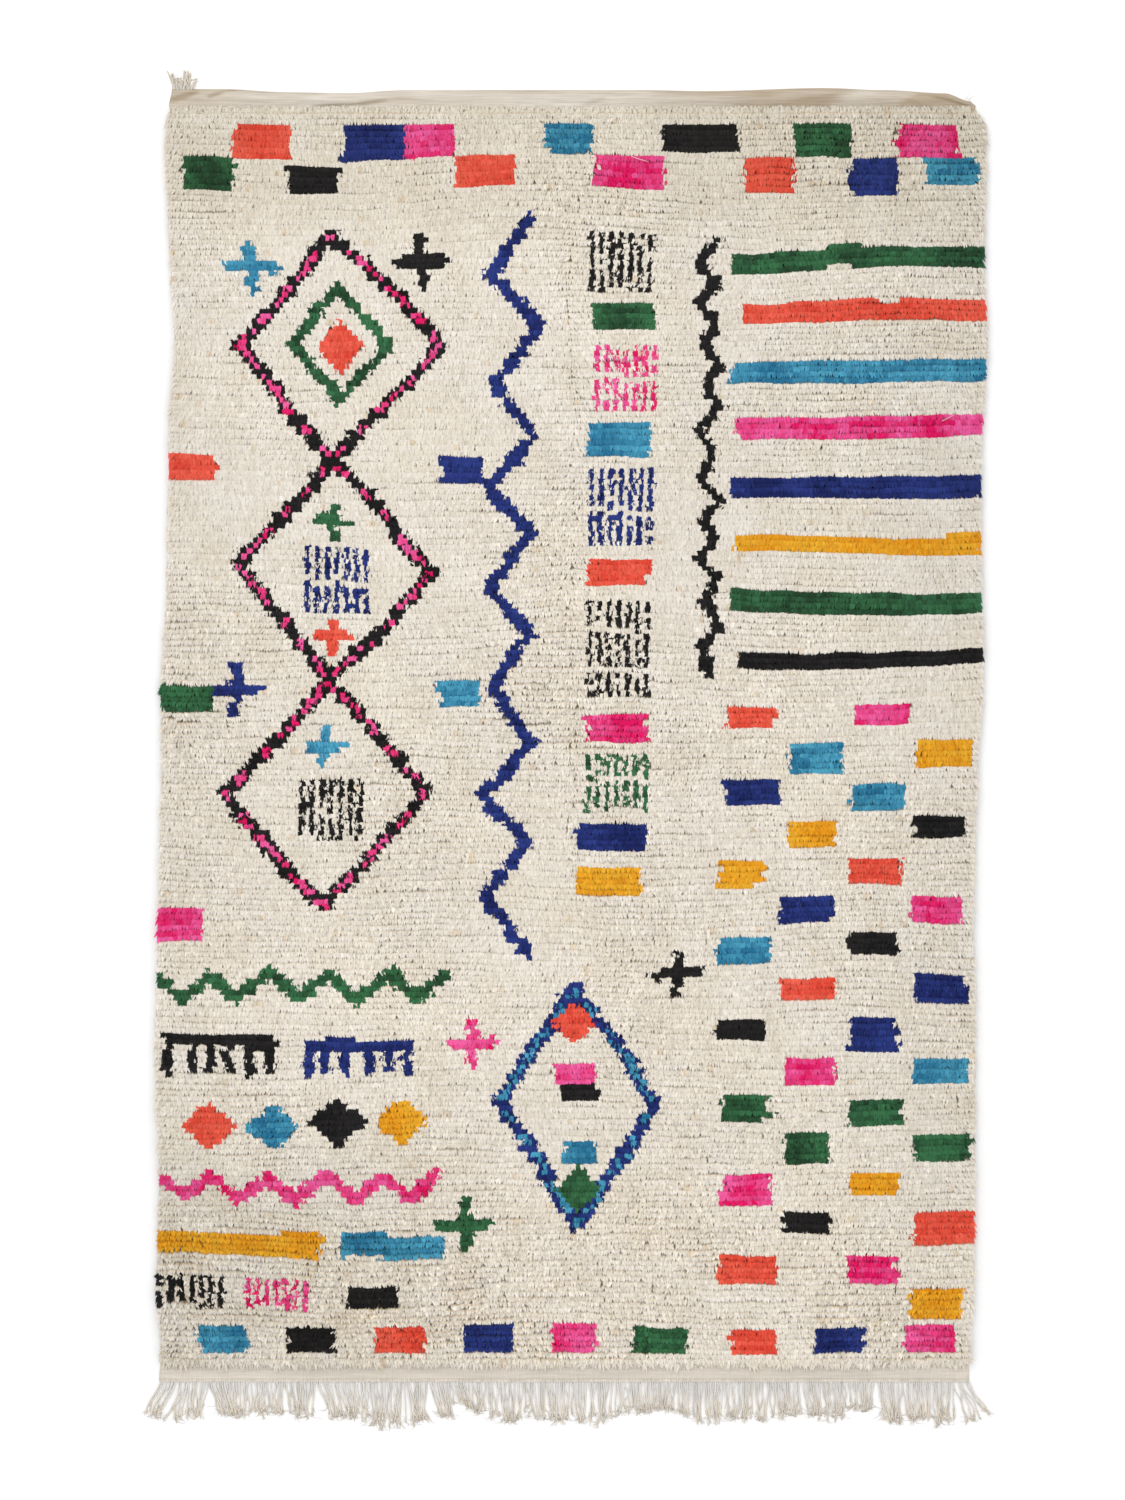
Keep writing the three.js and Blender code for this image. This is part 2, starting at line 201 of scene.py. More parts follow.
# Creases of the plain end, from one point to the next: height is below 0 for a trough
CREASES = table("across down to_across to_down height width", [
    (-776, 20, -722, 6, -2.4, 4.2),
    (-736, 14, -704, 15, 1.4, 3.0),
    (-706, 15, -672, 5, -1.8, 2.8),
    (-672, 4, -636, -1, -1.0, 2.4),
    (-640, 18, -560, 12, 1.0, 4.0),
    (-500, 30, -420, 26, -1.7, 3.4),
    (-420, 26, -356, 18, -1.7, 3.4),
    (-356, 18, -300, 14, -0.6, 4.0),
    (-180, 10, -20, 16, 0.8, 4.5),
    (24, 27, 66, 16, -0.6, 3.4),
    (230, 8, 340, 17, 1.0, 4.0),
    (420, 22, 520, 12, -1.0, 4.0),
    (548, 3, 612, 20, 1.5, 3.6),
    (618, 6, 690, 24, 1.7, 3.6),
    (700, 8, 772, 25, -1.8, 3.2),
    (712, 4, 776, 18, 1.4, 2.6),
])
CREASE_SHADE = 0.5  # how far the low parts of the creases are painted with shadow colour, from 0 to 1

# Places where the pile has parted along a row: depth is 1 where it shows its roots
PARTINGS = table("across down to_across to_down depth", [
    (-784, 1206, -716, 1210, 0.9),
    (-687, 1156, -560, 1196, 0.8),
    (-560, 1196, -426, 1222, 0.7),
    (-445, 126, -370, 150, 0.9),
    (-370, 150, -291, 184, 0.8),
    (-156, 1212, -20, 1210, 0.8),
    (40, 1257, 120, 1290, 0.7),
    (120, 1290, 200, 1314, 0.7),
    (-520, 1646, -380, 1660, 0.6),
    (300, 1130, 470, 1136, 0.4),
])
LOOSE_PARTINGS = 90  # short ones, anywhere
LOOSE_PARTING = ((-770, 700), (60, 2420), (40, 150), (0.15, 0.40))  # across, down, length, depth
LOOSE_SLANT = 0.12
LOW_DEEPER = 0.25  # how much deeper they are past LOW_DOWN
LOW_DOWN = 1900
PARTING_SWAY = 2.5
PARTING_SWELL = 17
PARTING_TAPER = 6  # how steeply a parting fades at its ends
PARTING_REACH = 11  # how far above and below a parting the pile bends away
PARTING_PUSH = 3.0
PARTING_CUT = 0.34  # share of a wisp's run that turns away

# The pile lies open along the middle, where the rug was folded
FOLD_ACROSS = 4
FOLD_WAVES = ((6, 85), (4, 23))  # how far it sways, and over what length
FOLD_START = (174, 294)  # where it begins, and where it is full
FOLD_STOP = (1566, 1366)
FOLD_SPREAD = 22
FOLD_LEAN = 20

# How shaggy the pile is, from 0 to 1, in parts: how much, and where that starts and is full, first
# across and then down. Of the parts at the right and along the fold, only the greater one counts.
ALL = (-2000, -1000)  # full before the rug begins
ROUGH_LEAST = 0.04
ROUGH_PARTS = [
    (0.30, ALL, (800, 1150)),
    (0.45, ALL, (2080, 2250)),
    (-0.225, (-300, 400), (2080, 2250)),
    (0.12, ALL, (110, 50)),
]
ROUGH_RIGHT = [(0.30, (100, 400), (900, 600))]
ROUGH_FOLD = 0.30
ROUGH_FOLD_ACROSS = -10
ROUGH_FOLD_WIDTH = 110
ROUGH_FOLD_DOWN = (1500, 1100)

# How much brighter the wool is, or darker, in parts of the same kind, and in a band across; the darker parts
# towards the edges are partly painted shade and partly the wool's own tone
TONE_PARTS = [
    (0.02, ALL, (2000, 2100)),
    (-0.06, (520, 720), ALL),
    (-0.06, (-560, -760), ALL),
    (-0.04, (120, 240), (1100, 800)),
    (-0.09, ALL, (300, 180)),
    (-0.04, ALL, (110, 20)),
    (-0.10, (-100, -500), (2000, 2100)),
]
BAND_TONE = 0.04
BAND_DOWN = 1750
BAND_WIDTH = 110
BAND_ACROSS = (200, 0)

# Clumps of the fringe from left to right. Each clump's roots start at root and end where the next
# clump's start; its tips spread from tip_from to tip_to and reach down by reach_from to reach_to.
CLUMPS = table("root tip_from tip_to reach_from reach_to", [
    (-797, -833, -800, 60, 74),
    (-767, -790, -748, 78, 76),
    (-738, -742, -716, 68, 64),
    (-703, -681, -624, 62, 68),
    (-620, -615, -558, 64, 60),
    (-554, -542, -498, 66, 70),
    (-492, -464, -392, 68, 74),
    (-391, -380, -355, 84, 86),
    (-356, -349, -323, 82, 80),
    (-320, -306, -282, 78, 80),
    (-277, -255, -232, 66, 70),
    (-235, -222, -160, 42, 70),
    (-163, -154, -95, 70, 76),
    (-92, -82, -49, 62, 76),
    (-49, -43, 86, 80, 72),
    (90, 95, 198, 66, 55),
    (202, 206, 246, 62, 72),
    (248, 253, 291, 80, 82),
    (293, 299, 389, 72, 74),
    (391, 396, 446, 72, 68),
    (444, 462, 529, 66, 72),
    (531, 536, 590, 56, 54),
    (592, 605, 641, 78, 84),
    (643, 650, 699, 76, 74),
    (701, 705, 737, 82, 80),
    (741, 766, 808, 90, 64),
])
CORD_PITCH = 4.3
CORD_SECTIONS = 12
CORD_SIDES = 5
CORD_TWIST = 5.0  # length of one turn
CORD_HELD = 2.5  # how far the cords reach into the weave
CORD_SHIFT = 0.3  # of a root from its even place, in pitches
CORD_TIP_SHIFT = 3.5
CORD_UNEVEN = 0.07  # share by which lengths differ
CORD_LAYERS = [0, 0.5, 1]
CORD_THICK = (3.0, 3.7)
CORD_CURL = 5.0
CORD_LUMPS = 0.10
CORD_TAPER = 0.35
CORD_END = 0.35  # share of its radius that a cord has at its tip
ROOT_SHARE = 0.2  # of a cord, which comes down from the weave
LAYER_HEIGHT = 1.6
LOWEST_YARN = 0.05  # of any yarn over the floor
YARN_WAVES = (0.8, 1.8)  # over a yarn's length
YARN_SWAY = 1.5
YARN_EASE = 0.75  # share of a yarn's way across that goes in a slant curve
HOOK_FROM = 0.6  # share of a yarn after which its end hooks
HOOK_BACK = 0.4
YARN_TAN_START = (0.25, 0.85)  # shares of a yarn where its tan begins and is full
YARN_TAN = (0.5, 1.25)
YARN_TONE = 0.05

# Loose fibre ends
FRAYS = 4  # of each cord
TUFT_FRAYS = 1
FRAY_SECTIONS = 6
FRAY_SIDES = 3
FRAY_ACROSS = 4.5
FRAY_LONGER = (-4, 5)
FRAY_CURL = 1.6  # in curls of the yarn
FRAY_RADIUS = (0.45, 0.75)
FRAY_TAPER = 0.6
FRAY_UP = 1.5

# Loose warp ends at the top left corner, from the tuft's left edge
TUFT_LEFT = -770
TUFT = table("root tip reach", [
    (5, -4, 36),
    (10, 8, 24),
    (16, 16, 28),
    (21, 24, 37),
    (26, 27, 34),
    (31, 35, 27),
    (36, 43, 25),
])
TUFT_YARNS = 3  # of each row of the table
TUFT_ROOT_SHIFT = 2.2
TUFT_TIP_SHIFT = 4
TUFT_REACH = (0.55, 1.05)
TUFT_LAYERS = [0, 0.5, 1, 1.5]
TUFT_THICK = (2.8, 4.4)
TUFT_CURL = 4.5
TUFT_TONE = np.array([0.87, 0.84, 0.79])

# Thread ends on the rug: where they start and end, and how high they lie
THREADS = table("across down to_across to_down up", [
    (118, 128, 152, 141, 17.0),
    (770, 18, 782, 8, 3.5),
    (764, 16, 774, 4, 3.5),
    (806, 92, 815, 84, 9.0),
    (-642, 30, -622, 24, 15.0),
    (-640, 33, -606, 28, 15.5),
    (718, 640, 742, 628, 16.5),
])
THREAD_CURL = 3.0
THREAD_RADIUS = 0.7
THREAD_WAVE = 1.2

# A wisp of wool from its knot to its cut tip: shares of its run, height and width
WISP = table("run height width", [
    (0.00, 2.5, 6.0),
    (0.48, 15.2, 5.4),
    (1.00, 12.6, 0.0),
])
WISP_RUN = 22.0
LOWEST = 0.3  # of any wisp over the floor
YARNS = 2  # yarn ends of a knot
WISPS = 3  # wisps of a yarn end, from left to right
WISP_OFFSET = 1.5
WISP_SIDES = (np.arange(WISPS) - (WISPS - 1) / 2)[None, :]
OUTER_LOWER = 0.04  # how much lower its outer wisps lie
SIDE_KNOTS = 5  # knots at each side that lean outwards
SIDE_LEAN = 16
ROUGH_SHORTER = 0.13  # how much shorter wisps are where the pile is rough, so that rows stand apart
WISP_ROLL = 0.3  # radians
WISP_FAN = 5  # degrees between the wisps of a yarn end where the pile is rough
SMOOTH_UP_TO = 0.3  # how rough the pile is where the values for smooth pile end
SMOOTH_FAN = 1
SMOOTH_LONGER = 0.08  # how much longer wisps are where the pile is smooth, so that rows close up
SMOOTH_WIDER = 0.22
SMOOTH_TONE = 0.97
SMOOTH_UNTINTED = 0.46  # what the root of a wisp counts as along its run, where the pile is smooth, so that less of the painted root shade shows
SMOOTH_CUT = 0.25  # share of a parting's cut that is left there
WISP_POINTS = 5
WISP_QUADS = np.array([[0, 2, 3, 1]])
WISP_TRIANGLES = np.array([[2, 4, 3]])
WISP_SECTION = np.array([0, 0, 1, 1, 2])
WISP_CELL = np.array([(0.08, 0.08), (0.92, 0.08), (0.08, 0.50), (0.92, 0.50), (0.50, 0.92)])
WISP_STRANDS = 3  # strands that show side by side on a wisp
# Tint of a wisp along its run: dark and tan at its root, partly painted shade and warm bounced light of the
# gaps between rows, partly the root's own warmer wool; no tint from its bend to its tip
WISP_TINTS = [
    (0.00, (0.66, 0.54, 0.38)),
    (0.40, (0.78, 0.68, 0.52)),
    (0.56, (0.97, 0.93, 0.86)),
    (0.70, (1.0, 1.0, 1.0)),
]

# How far yarn ends (1) and their wisps (WISPS) stray: where the pile is smooth, and how much more
# where it is rough. The last column of the rim's is how much more where its runs are ragged.
PILE_STRAYS = {
    "across": [(1, 0.6, 0.8), (WISPS, 0.4, 0)],
    "down": [(1, 0.15, 0.5), (WISPS, 0.3, 0)],
    "lean": [(1, 2, 7), (WISPS, 2, 3)],
    "outwards": [(1, 4, 0)],
    "patch_edge": [(1, 9, 0)],
    "run": [(1, 0.015, 0.07), (WISPS, 0.04, 0)],
    "lift": [(1, 0.008, 0.05), (WISPS, 0.02, 0.02)],
    "bend": [(1, 3, 9), (WISPS, 3, 5)],
    "roll": [(WISPS, 0.15, 0), (1, 0.10, 0)],
    "wide": [(WISPS, 0.1, 0)],
    "tone": [(1, 0.02, 0.04), (WISPS, 0.02, 0.07)],
}
RIM_STRAYS = {
    "lean": [(1, 12, 0), (WISPS, 4, 0)],
    "place": [(WISPS, 0.8, 0)],
    "bend": [(WISPS, 9, 0)],
    "run": [(1, 0, 1), (WISPS, 0.05, 0)],
    "lift": [(1, 0.05, 0), (WISPS, 0.03, 0)],
    "roll": [(WISPS, 0.35, 0)],
    "wide": [(WISPS, 0.12, 0)],
    "tone": [(WISPS, 0.04, 0)],
}

# Locks that close the pile's edges, layer by layer: how far inside the outline they are knotted, how far
# they run, how high their roots, bends and tips are, and what their roots count as along the tint, which is
# partly painted shade
LAYER_COLUMNS = "inset run root_up bend_up tip_up clean"
RIM_LAYERS = table(LAYER_COLUMNS, [
    (11.0, 14.0, 2.5, 12.5, 7.5, 0.2),
    (9.0, 12.0, 2.0, 7.0, 1.6, 0.2),
])
CREST_LAYERS = table(LAYER_COLUMNS, [
    (17.0, 14.0, 10.5, 13.6, 9.0, 0.35),
    (12.0, 13.0, 6.0, 10.5, 4.5, 0.35),
    (9.0, 10.0, 2.0, 5.5, 3.2, 0.2),
])
LAST_LAYERS = table(LAYER_COLUMNS, [
    (15.0, 19.0, 6.0, 13.0, 8.0, 0.35),
    (11.0, 14.0, 2.5, 9.5, 5.5, 0.2),
    (9.0, 11.0, 2.0, 6.0, 3.4, 0.2),
])
RIM_RAGGED = 0.10  # how uneven their runs are
LAST_RAGGED = 0.22
RIM_PITCH = 4.75
RIM_DOWN = (FIRST_ROW + 6, LAST_ROW + 12)
RIM_MARGIN = 10  # from the corners to the locks at the ends
RIM_CORNER = 6  # from an end to where that width is measured
RIM_LEAN = 55  # of the locks at the sides, from straight down the rug
RIM_WIDE = 0.9

# Ground weave
WEAVE_COLUMNS = 251
WEAVE_END_ROWS = 27
WEAVE_MIDDLE_ROWS = 100
WEAVE_LAST_ROWS = 15
WEAVE_WAVE = 0.4
WEAVE_SWELLS = (61, 17)  # across and down
WEAVE_LIFT = 0.9  # share of a roll's height by which the underside leaves the floor
WEAVE_UPRIGHT = 0.35  # how much upright streaks show at the fringe
WEAVE_FADE = 10  # over which the weave's edge draws in, and the upright streaks begin
WEFT_PITCH = 0.0019  # of the shader's ribs, in metres
WARP_PITCH = 0.0043
WAVE_SCALE = 0.314  # scale of Blender's wave texture for ribs a metre apart
# Last wefts: how far down they are from the start of the strip, and how high
STRIP = table("depth height", [
    (0, 2.6),
    (0.8, 2.9),
    (2.0, 3.1),
    (3.2, 3.2),
    (4.4, 3.0),
    (5.4, 2.5),
    (5.9, 1.6),
])
# Parts of the map for baking: from the top of the plain end down to the underside
MAP_PARTS = table("down place", [
    (0, 0.0),
    (33, 0.17),
    (LAST_ROW, 0.19),
    (RUG_LENGTH, 0.36),
])
MAP_BACK = 0.38
MAP_RIM = 0.97
MAP_GAP = 0.01

# Two shades of each dye, in sRGB
DYES = {
    "cream": ((238, 229, 214), (247, 240, 229)),
    "pink": ((236, 8, 102), (252, 100, 172)),
    "orange": ((234, 74, 54), (250, 104, 82)),
    "cobalt": ((20, 33, 96), (42, 60, 138)),
    "green": ((32, 68, 42), (58, 118, 76)),
    "turquoise": ((38, 118, 158), (82, 172, 206)),
    "black": ((18, 16, 16), (36, 34, 34)),
    "yellow": ((238, 157, 18), (247, 184, 46)),
}
DYE_NAMES = list(DYES)
TAN_KNOT = (0.93, 0.86, 0.76)  # share of each linear number that a tan knot keeps
TANNED = np.array([0.0, 0.02, 0.08])  # share that tanned wool loses
TANNED_TOP = 0.7  # how tanned the wool is along the plain end, and in patches
TANNED_DOWN = (300, 180)
TANNED_PATCHES = 0.3
TAN_KNOTS = 0.006  # share of the cream ones
KNOT_SHADE = 0.20  # how far knots and rows are from the middle of their two shades
ROW_SHADE = 0.2
ROW_SHADE_STEP = 2.4  # radians
BACK_DYE = 0.8  # share of a knot's colour that its back keeps
BACK_PALE = 0.12
# The plain end runs from WEFT_LIGHT to WEFT_DARK, whose dark side is partly painted shade of its folds
WEFT_LIGHT = (221, 213, 201)
WEFT_DARK = (182, 166, 144)
# Painted shadow colour for the low parts of the creases
WEFT_TROUGH_SHADOW = (150, 126, 94)
WEFT_FRINGED = (222, 213, 200)
WEFT_BACK = (226, 217, 202)
CORD_ROOT = (234, 230, 223)
CORD_TIP = (240, 227, 208)

# How uneven hand knotting leaves the design
BOX_ODDS = (0.015, 0.97, 0.015)  # that a side is a knot short, right, or a knot over
BOX_SWAY = 2.6
BOX_SWELL = 60
LINE_JITTER = 0.25  # in knots
LINE_SWAY = (4, 3)  # across and down
LINE_SWELL = 110
HATCH_STRAYS = 0.02

# Seeds of the design, one kind of motif after the other
BRICK_SEED = 100
LOZENGE_SEED = 400
CROSS_SEED = 500
ZIGZAG_SEED = 597
COMB_SEED = 700
BOX_SEED = 900

# The design, in generic motifs of this kind of rug. Places and sizes are across, down, wide, tall.
BLOCKS = [
    ("orange", -662, 50, 108, 66),
    ("cobalt", -452, 48, 120, 72),
    ("pink", -332, 50, 98, 66),
    ("turquoise", -72, 48, 96, 66),
    ("black", 174, 48, 144, 62),
    ("green", 418, 50, 114, 68),
    ("pink", 626, 50, 120, 66),
    ("green", -756, 119, 98, 56),
    ("black", -554, 121, 104, 60),
    ("orange", -234, 117, 106, 60),
    ("pink", 28, 116, 146, 64),
    ("orange", 320, 112, 98, 62),
    ("cobalt", 528, 120, 100, 64),
    ("turquoise", 688, 118, 88, 52),
    ("orange", -790, 690, 88, 56),
    ("green", -792, 1130, 96, 52),
    ("pink", -796, 1572, 94, 58),
    ("cobalt", -262, 690, 76, 50),
    ("turquoise", -262, 1132, 82, 54),
    ("green", 24, 400, 124, 52),
    ("turquoise", 24, 634, 124, 54),
    ("orange", 26, 902, 122, 56),
    ("pink", 22, 1192, 126, 52),
    ("cobalt", 24, 1404, 124, 56),
    ("yellow", 24, 1492, 122, 50),
    ("pink", -14, 1876, 72, 36),
    ("black", -12, 1914, 74, 32),
    ("turquoise", -10, 2018, 68, 46),
    ("black", -420, 2290, 96, 48),
]
BORDER = [
    ("turquoise", -716, 2378, 92, 54),
    ("black", -548, 2380, 100, 52),
    ("orange", -372, 2376, 98, 54),
    ("cobalt", -196, 2380, 92, 52),
    ("pink", -30, 2378, 84, 54),
    ("green", 132, 2378, 102, 52),
    ("orange", 318, 2380, 90, 52),
    ("cobalt", 486, 2378, 98, 54),
    ("pink", 664, 2376, 94, 54),
]
STRIPES = [
    ("green", 306, 292, 500, 42),
    ("orange", 322, 402, 490, 41),
    ("turquoise", 300, 512, 506, 44),
    ("pink", 318, 624, 484, 40),
    ("cobalt", 304, 734, 494, 42),
    ("yellow", 316, 846, 484, 38),
    ("green", 308, 956, 492, 42),
    ("black", 320, 1066, 480, 36),
    ("yellow", -806, 2196, 330, 44),
    ("turquoise", -440, 2196, 200, 42),
]
STRIPE_SLOPE = 0.003
STRIPE_WAVES = 2.5
STRIPE_SWELL = 130
# Hatched patches end with the number of rows of a dash
HATCHES = [
    ("black", 20, 262, 132, 112, 11),
    ("pink", 20, 482, 134, 126, 6),
    ("cobalt", 20, 714, 132, 160, 8),
    ("black", 18, 984, 136, 180, 6),
    ("green", 22, 1268, 128, 112, 5),
    ("cobalt", -532, 866, 132, 128, 6),
    ("black", -534, 1318, 134, 120, 11),
    ("black", -790, 2280, 134, 68, 6),
    ("pink", -620, 2280, 134, 68, 6),
]
# Staggered blocks of the lower right: their first place, their steps, sizes and how these stray
BRICK_ACROSS = 296
BRICK_DOWN = 1172
BRICK_STEP_ACROSS = 126
BRICK_STEP_DOWN = 152
BRICK_LOWERED = 74  # every other column
BRICK_COLUMNS = 4
BRICK_ROWS = 8
BRICK_WIDE = 98
BRICK_TALL = 50
BRICK_LAST = 2310
BRICK_STRAYS = ((-5, 5), (-6, 6), (-8, 10), (-5, 9))  # across, down, wide, tall
BRICK_DYES = ["orange", "green", "turquoise", "cobalt", "pink", "black", "yellow"]
# Outlines of lozenges: edge, core, middle across and down, half width, half height, thickness
LOZENGES = [
    ("black", "pink", -470, 480, 196, 216, 25),
    ("black", "pink", -466, 914, 190, 212, 25),
    ("black", "pink", -472, 1348, 198, 216, 25),
    ("cobalt", "turquoise", 22, 1950, 150, 232, 26),
    ("green", "green", -470, 480, 96, 106, 20),
]
CORE_SHARE = 0.17  # half of a core's width, as a share of its line's
CORE_ROWS = 4  # one in so many rows doesn't show it
# Filled lozenges: dye, middle across and down, half width, half height
SOLID_LOZENGES = [
    ("orange", -470, 480, 50, 52),
    ("orange", -690, 1986, 56, 50),
    ("turquoise", -568, 1990, 54, 48),
    ("black", -446, 1984, 56, 50),
    ("yellow", -324, 1988, 54, 48),
    ("orange", 22, 1792, 42, 46),
    ("green", 22, 2110, 42, 46),
]
# Crosses: dye, middle across and down, length of an arm, thickness
CROSSES = [
    ("turquoise", -640, 330, 44, 22),
    ("black", -300, 320, 44, 22),
    ("cobalt", -650, 1140, 42, 22),
    ("green", -466, 822, 32, 20),
    ("orange", -466, 1042, 30, 20),
    ("turquoise", -472, 1254, 32, 20),
    ("green", -200, 2180, 40, 22),
    ("black", 214, 1690, 42, 22),
    ("pink", -176, 1830, 40, 22),
]
# Zigzags: dye, start, end, swing to each side, number of turns, thickness
ZIGZAGS = [
    ("cobalt", (-128, 246), (-118, 1650), 40, 14, 24),
    ("black", (258, 270), (262, 1110), 14, 20, 20),
    ("green", (-800, 1722), (-230, 1716), 24, 10, 23),
    ("pink", (-800, 2106), (-250, 2112), 22, 10, 23),
]
# Combs: dye, left end, down, width, teeth, length of a tooth
COMBS = [
    ("black", -760, 1826, 192, 6, 56),
    ("cobalt", -500, 1830, 190, 6, 54),
]
COMB_SPINE = 24
COMB_TOOTH = 18


def ramp(value, start, stop):
    """How far a value has come from start to stop, from 0 to 1."""
    return np.clip((value - start) / (stop - start), 0, 1)


def eased(share):
    return share * share * (3 - 2 * share)


def bell(value, width):
    """1 where a value is 0, and about a third where it is the width away from that."""
    return np.exp(-((value / width) ** 2))


def tapered(share, steepness):
    """1, but falling to 0 at both ends of a share that goes from 0 to 1."""
    return np.clip(np.minimum(share, 1 - share) * steepness, 0, 1)


def between(columns, key, name, places):
    """One column of a table, eased between its rows."""
    marks = columns[key]
    i = np.clip(np.searchsorted(marks, places) - 1, 0, len(marks) - 2)
    share = eased(ramp(places, marks[i], marks[i + 1]))
    return columns[name][i] * (1 - share) + columns[name][i + 1] * share


def swells(across, down, size, seed):
    """Slow random waves over the rug, mostly between -1 and 1, with swells about size across."""
    chance = np.random.default_rng(seed)
    total = np.zeros(np.broadcast(across, down).shape)
    for _ in range(SWELL_WAVES):
        way = chance.uniform(0, TURN)
        pitch = size * chance.uniform(*SWELL_PITCH)
        phase = chance.uniform(0, TURN)
        total += np.sin(TURN * (across * math.cos(way) + down * math.sin(way)) / pitch + phase)
    return total / math.sqrt(SWELL_WAVES)


def drift(name, across, down):
    """The waves that a row of DRIFTS names."""
    amount, size, seed = DRIFTS[name]
    return amount * swells(across, down, size, seed)


def parts_sum(parts, across, down):
    """The sum of parts that each grow over the rug, across and down."""
    return sum(amount * ramp(across, *wide) * ramp(down, *tall) for amount, wide, tall in parts)


def beside(across, down, start, end):
    """How far places are from a line, and which share of the line they have passed."""
    length = math.hypot(end[0] - start[0], end[1] - start[1])
    way_x, way_d = (end[0] - start[0]) / length, (end[1] - start[1]) / length
    ahead = np.clip((across - start[0]) * way_x + (down - start[1]) * way_d, 0, length)
    gap = np.hypot(across - start[0] - ahead * way_x, down - start[1] - ahead * way_d)
    return gap, ahead / length


def linear(colour):
    """An sRGB colour of 0 to 255 as the linear numbers that a shader takes."""
    share = np.array(colour, dtype=float) / 255
    return np.where(share <= 0.04045, share / 12.92, ((share + 0.055) / 1.055) ** 2.4)


def blend(first, second, share):
    """A mix of two sRGB colours in linear numbers, for an array of shares."""
    return linear(first) * (1 - share[..., None]) + linear(second) * share[..., None]


def sides(down, inset=0.0):
    """The rug's edges at the left and at the right, drawn in by an inset."""
    return inset - between(SIDES, "down", "left", down), between(SIDES, "down", "right", down) - inset


def frame_points(across, down, up):
    """Places on the rug as points of the frame, in metres."""
    x = (across + MIDDLE_LINE_X) * MM
    y = (RUG_LENGTH / 2 - down + HALFWAY_Y) * MM
    return np.stack(np.broadcast_arrays(x, y, up * MM), axis=-1)


def add_object(name, data):
    obj = bpy.data.objects.new(name, data)
    bpy.context.scene.collection.objects.link(obj)
    return obj


def add_map(mesh, name, places):
    """A UV map, from one place for each corner of the mesh's faces."""
    layer = mesh.uv_layers.new(name=name)
    layer.data.foreach_set("uv", places.astype(np.float32).ravel())


def make_piece(name, points, polygons, dye, note, cells=None):
    """A mesh object from points and lists of polygons, one array for each number of corners.

    The attribute dye holds a colour, and in its fourth number a note that the material reads.
    """
    corners = np.concatenate([p.ravel() for p in polygons])
    counts = np.concatenate([np.full(len(p), p.shape[1]) for p in polygons])
    starts = np.concatenate([[0], np.cumsum(counts)[:-1]])
    mesh = bpy.data.meshes.new(name)
    mesh.vertices.add(len(points))
    mesh.vertices.foreach_set("co", points.astype(np.float32).ravel())
    mesh.loops.add(len(corners))
    mesh.loops.foreach_set("vertex_index", corners.astype(np.int32))
    mesh.polygons.add(len(counts))
    mesh.polygons.foreach_set("loop_start", starts.astype(np.int32))
    mesh.polygons.foreach_set("use_smooth", np.ones(len(counts), dtype=bool))
    layer = mesh.color_attributes.new("dye", "FLOAT_COLOR", "POINT")
    noted = np.concatenate([dye, np.broadcast_to(note, (len(dye),))[:, None]], axis=1)
    layer.data.foreach_set("color", noted.astype(np.float32).ravel())
    if cells is not None:
        add_map(mesh, "OFBake", cells)
    mesh.update(calc_edges=True)
    return add_object(name, mesh)


# Where the chart of the design has its knots
DOWN_CHART = np.repeat(FIRST_ROW + ROW_PITCH * np.arange(ROWS)[:, None], KNOTS, axis=1)
ACROSS_CHART = np.repeat((KNOT_PITCH * (np.arange(KNOTS) - (KNOTS - 1) / 2))[None, :], ROWS, axis=0)


def chart_swells(size, seed):
    return swells(ACROSS_CHART, DOWN_CHART, size, seed)


def rough_box(across, down, wide, tall, seed, slope=0.0, waves=0.0):
    """The knots of an upright box, with sides as uneven as hand knotting leaves them."""
    chance = np.random.default_rng(seed)
    missed = KNOT_PITCH * chance.choice([-1, 0, 1], (2, ROWS, 1), p=BOX_ODDS)
    place = ACROSS_CHART + BOX_SWAY * chart_swells(BOX_SWELL, seed + 1)
    height = DOWN_CHART + slope * (ACROSS_CHART - across)
    height = height + waves * chart_swells(STRIPE_SWELL, seed + 2)
    inside = (place > across + missed[0]) & (place < across + wide + missed[1])
    return inside & (height > down) & (height < down + tall)


def hatched(across, down, wide, tall, dash, seed):
    """Upright dashes, one knot wide, with cream between."""
    chance = np.random.default_rng(seed)
    inside = rough_box(across, down, wide, tall, seed)
    rows = np.arange(ROWS)[:, None]
    offset = np.repeat(chance.integers(0, 2, KNOTS // 2 + 1), 2)[None, :KNOTS]
    first = math.ceil((down - FIRST_ROW) / ROW_PITCH)
    kept = (rows - first + offset) % (dash + 1) != dash
    upright = np.arange(KNOTS)[None, :] % 2 == 0
    strays = chance.random((ROWS, KNOTS)) < HATCH_STRAYS
    return inside & ((upright & kept) ^ strays)


def off_line(points, seed):
    """How far each knot is from a line through the points, as uneven as hand knotting leaves it."""
    jitter = np.random.default_rng(seed).normal(0, 1, (ROWS, 1))
    across = ACROSS_CHART + KNOT_PITCH * LINE_JITTER * jitter
    across = across + LINE_SWAY[0] * chart_swells(LINE_SWELL, seed)
    down = DOWN_CHART + LINE_SWAY[1] * chart_swells(LINE_SWELL, seed + 1)
    gaps = [beside(across, down, start, end)[0] for start, end in zip(points[:-1], points[1:])]
    return np.minimum.reduce(gaps)


def draw_line(chart, dye, points, thick, seed, core=None):
    """A line. A core shows in dashes along it, as two colours knotted in turn leave it."""
    gap = off_line(points, seed)
    chart[gap < thick / 2] = DYE_NAMES.index(dye)
    if core:
        turned = np.random.default_rng(seed + 2).integers(0, 2, (ROWS, 1))
        shown = (np.arange(ROWS)[:, None] + turned) % CORE_ROWS > 0
        chart[(gap < thick * CORE_SHARE) & shown] = DYE_NAMES.index(core)


def seeded(rows, seed):
    """Rows of the design, each after a seed of its own."""
    return [(seed + 3 * (i + 1), *row) for i, row in enumerate(rows)]


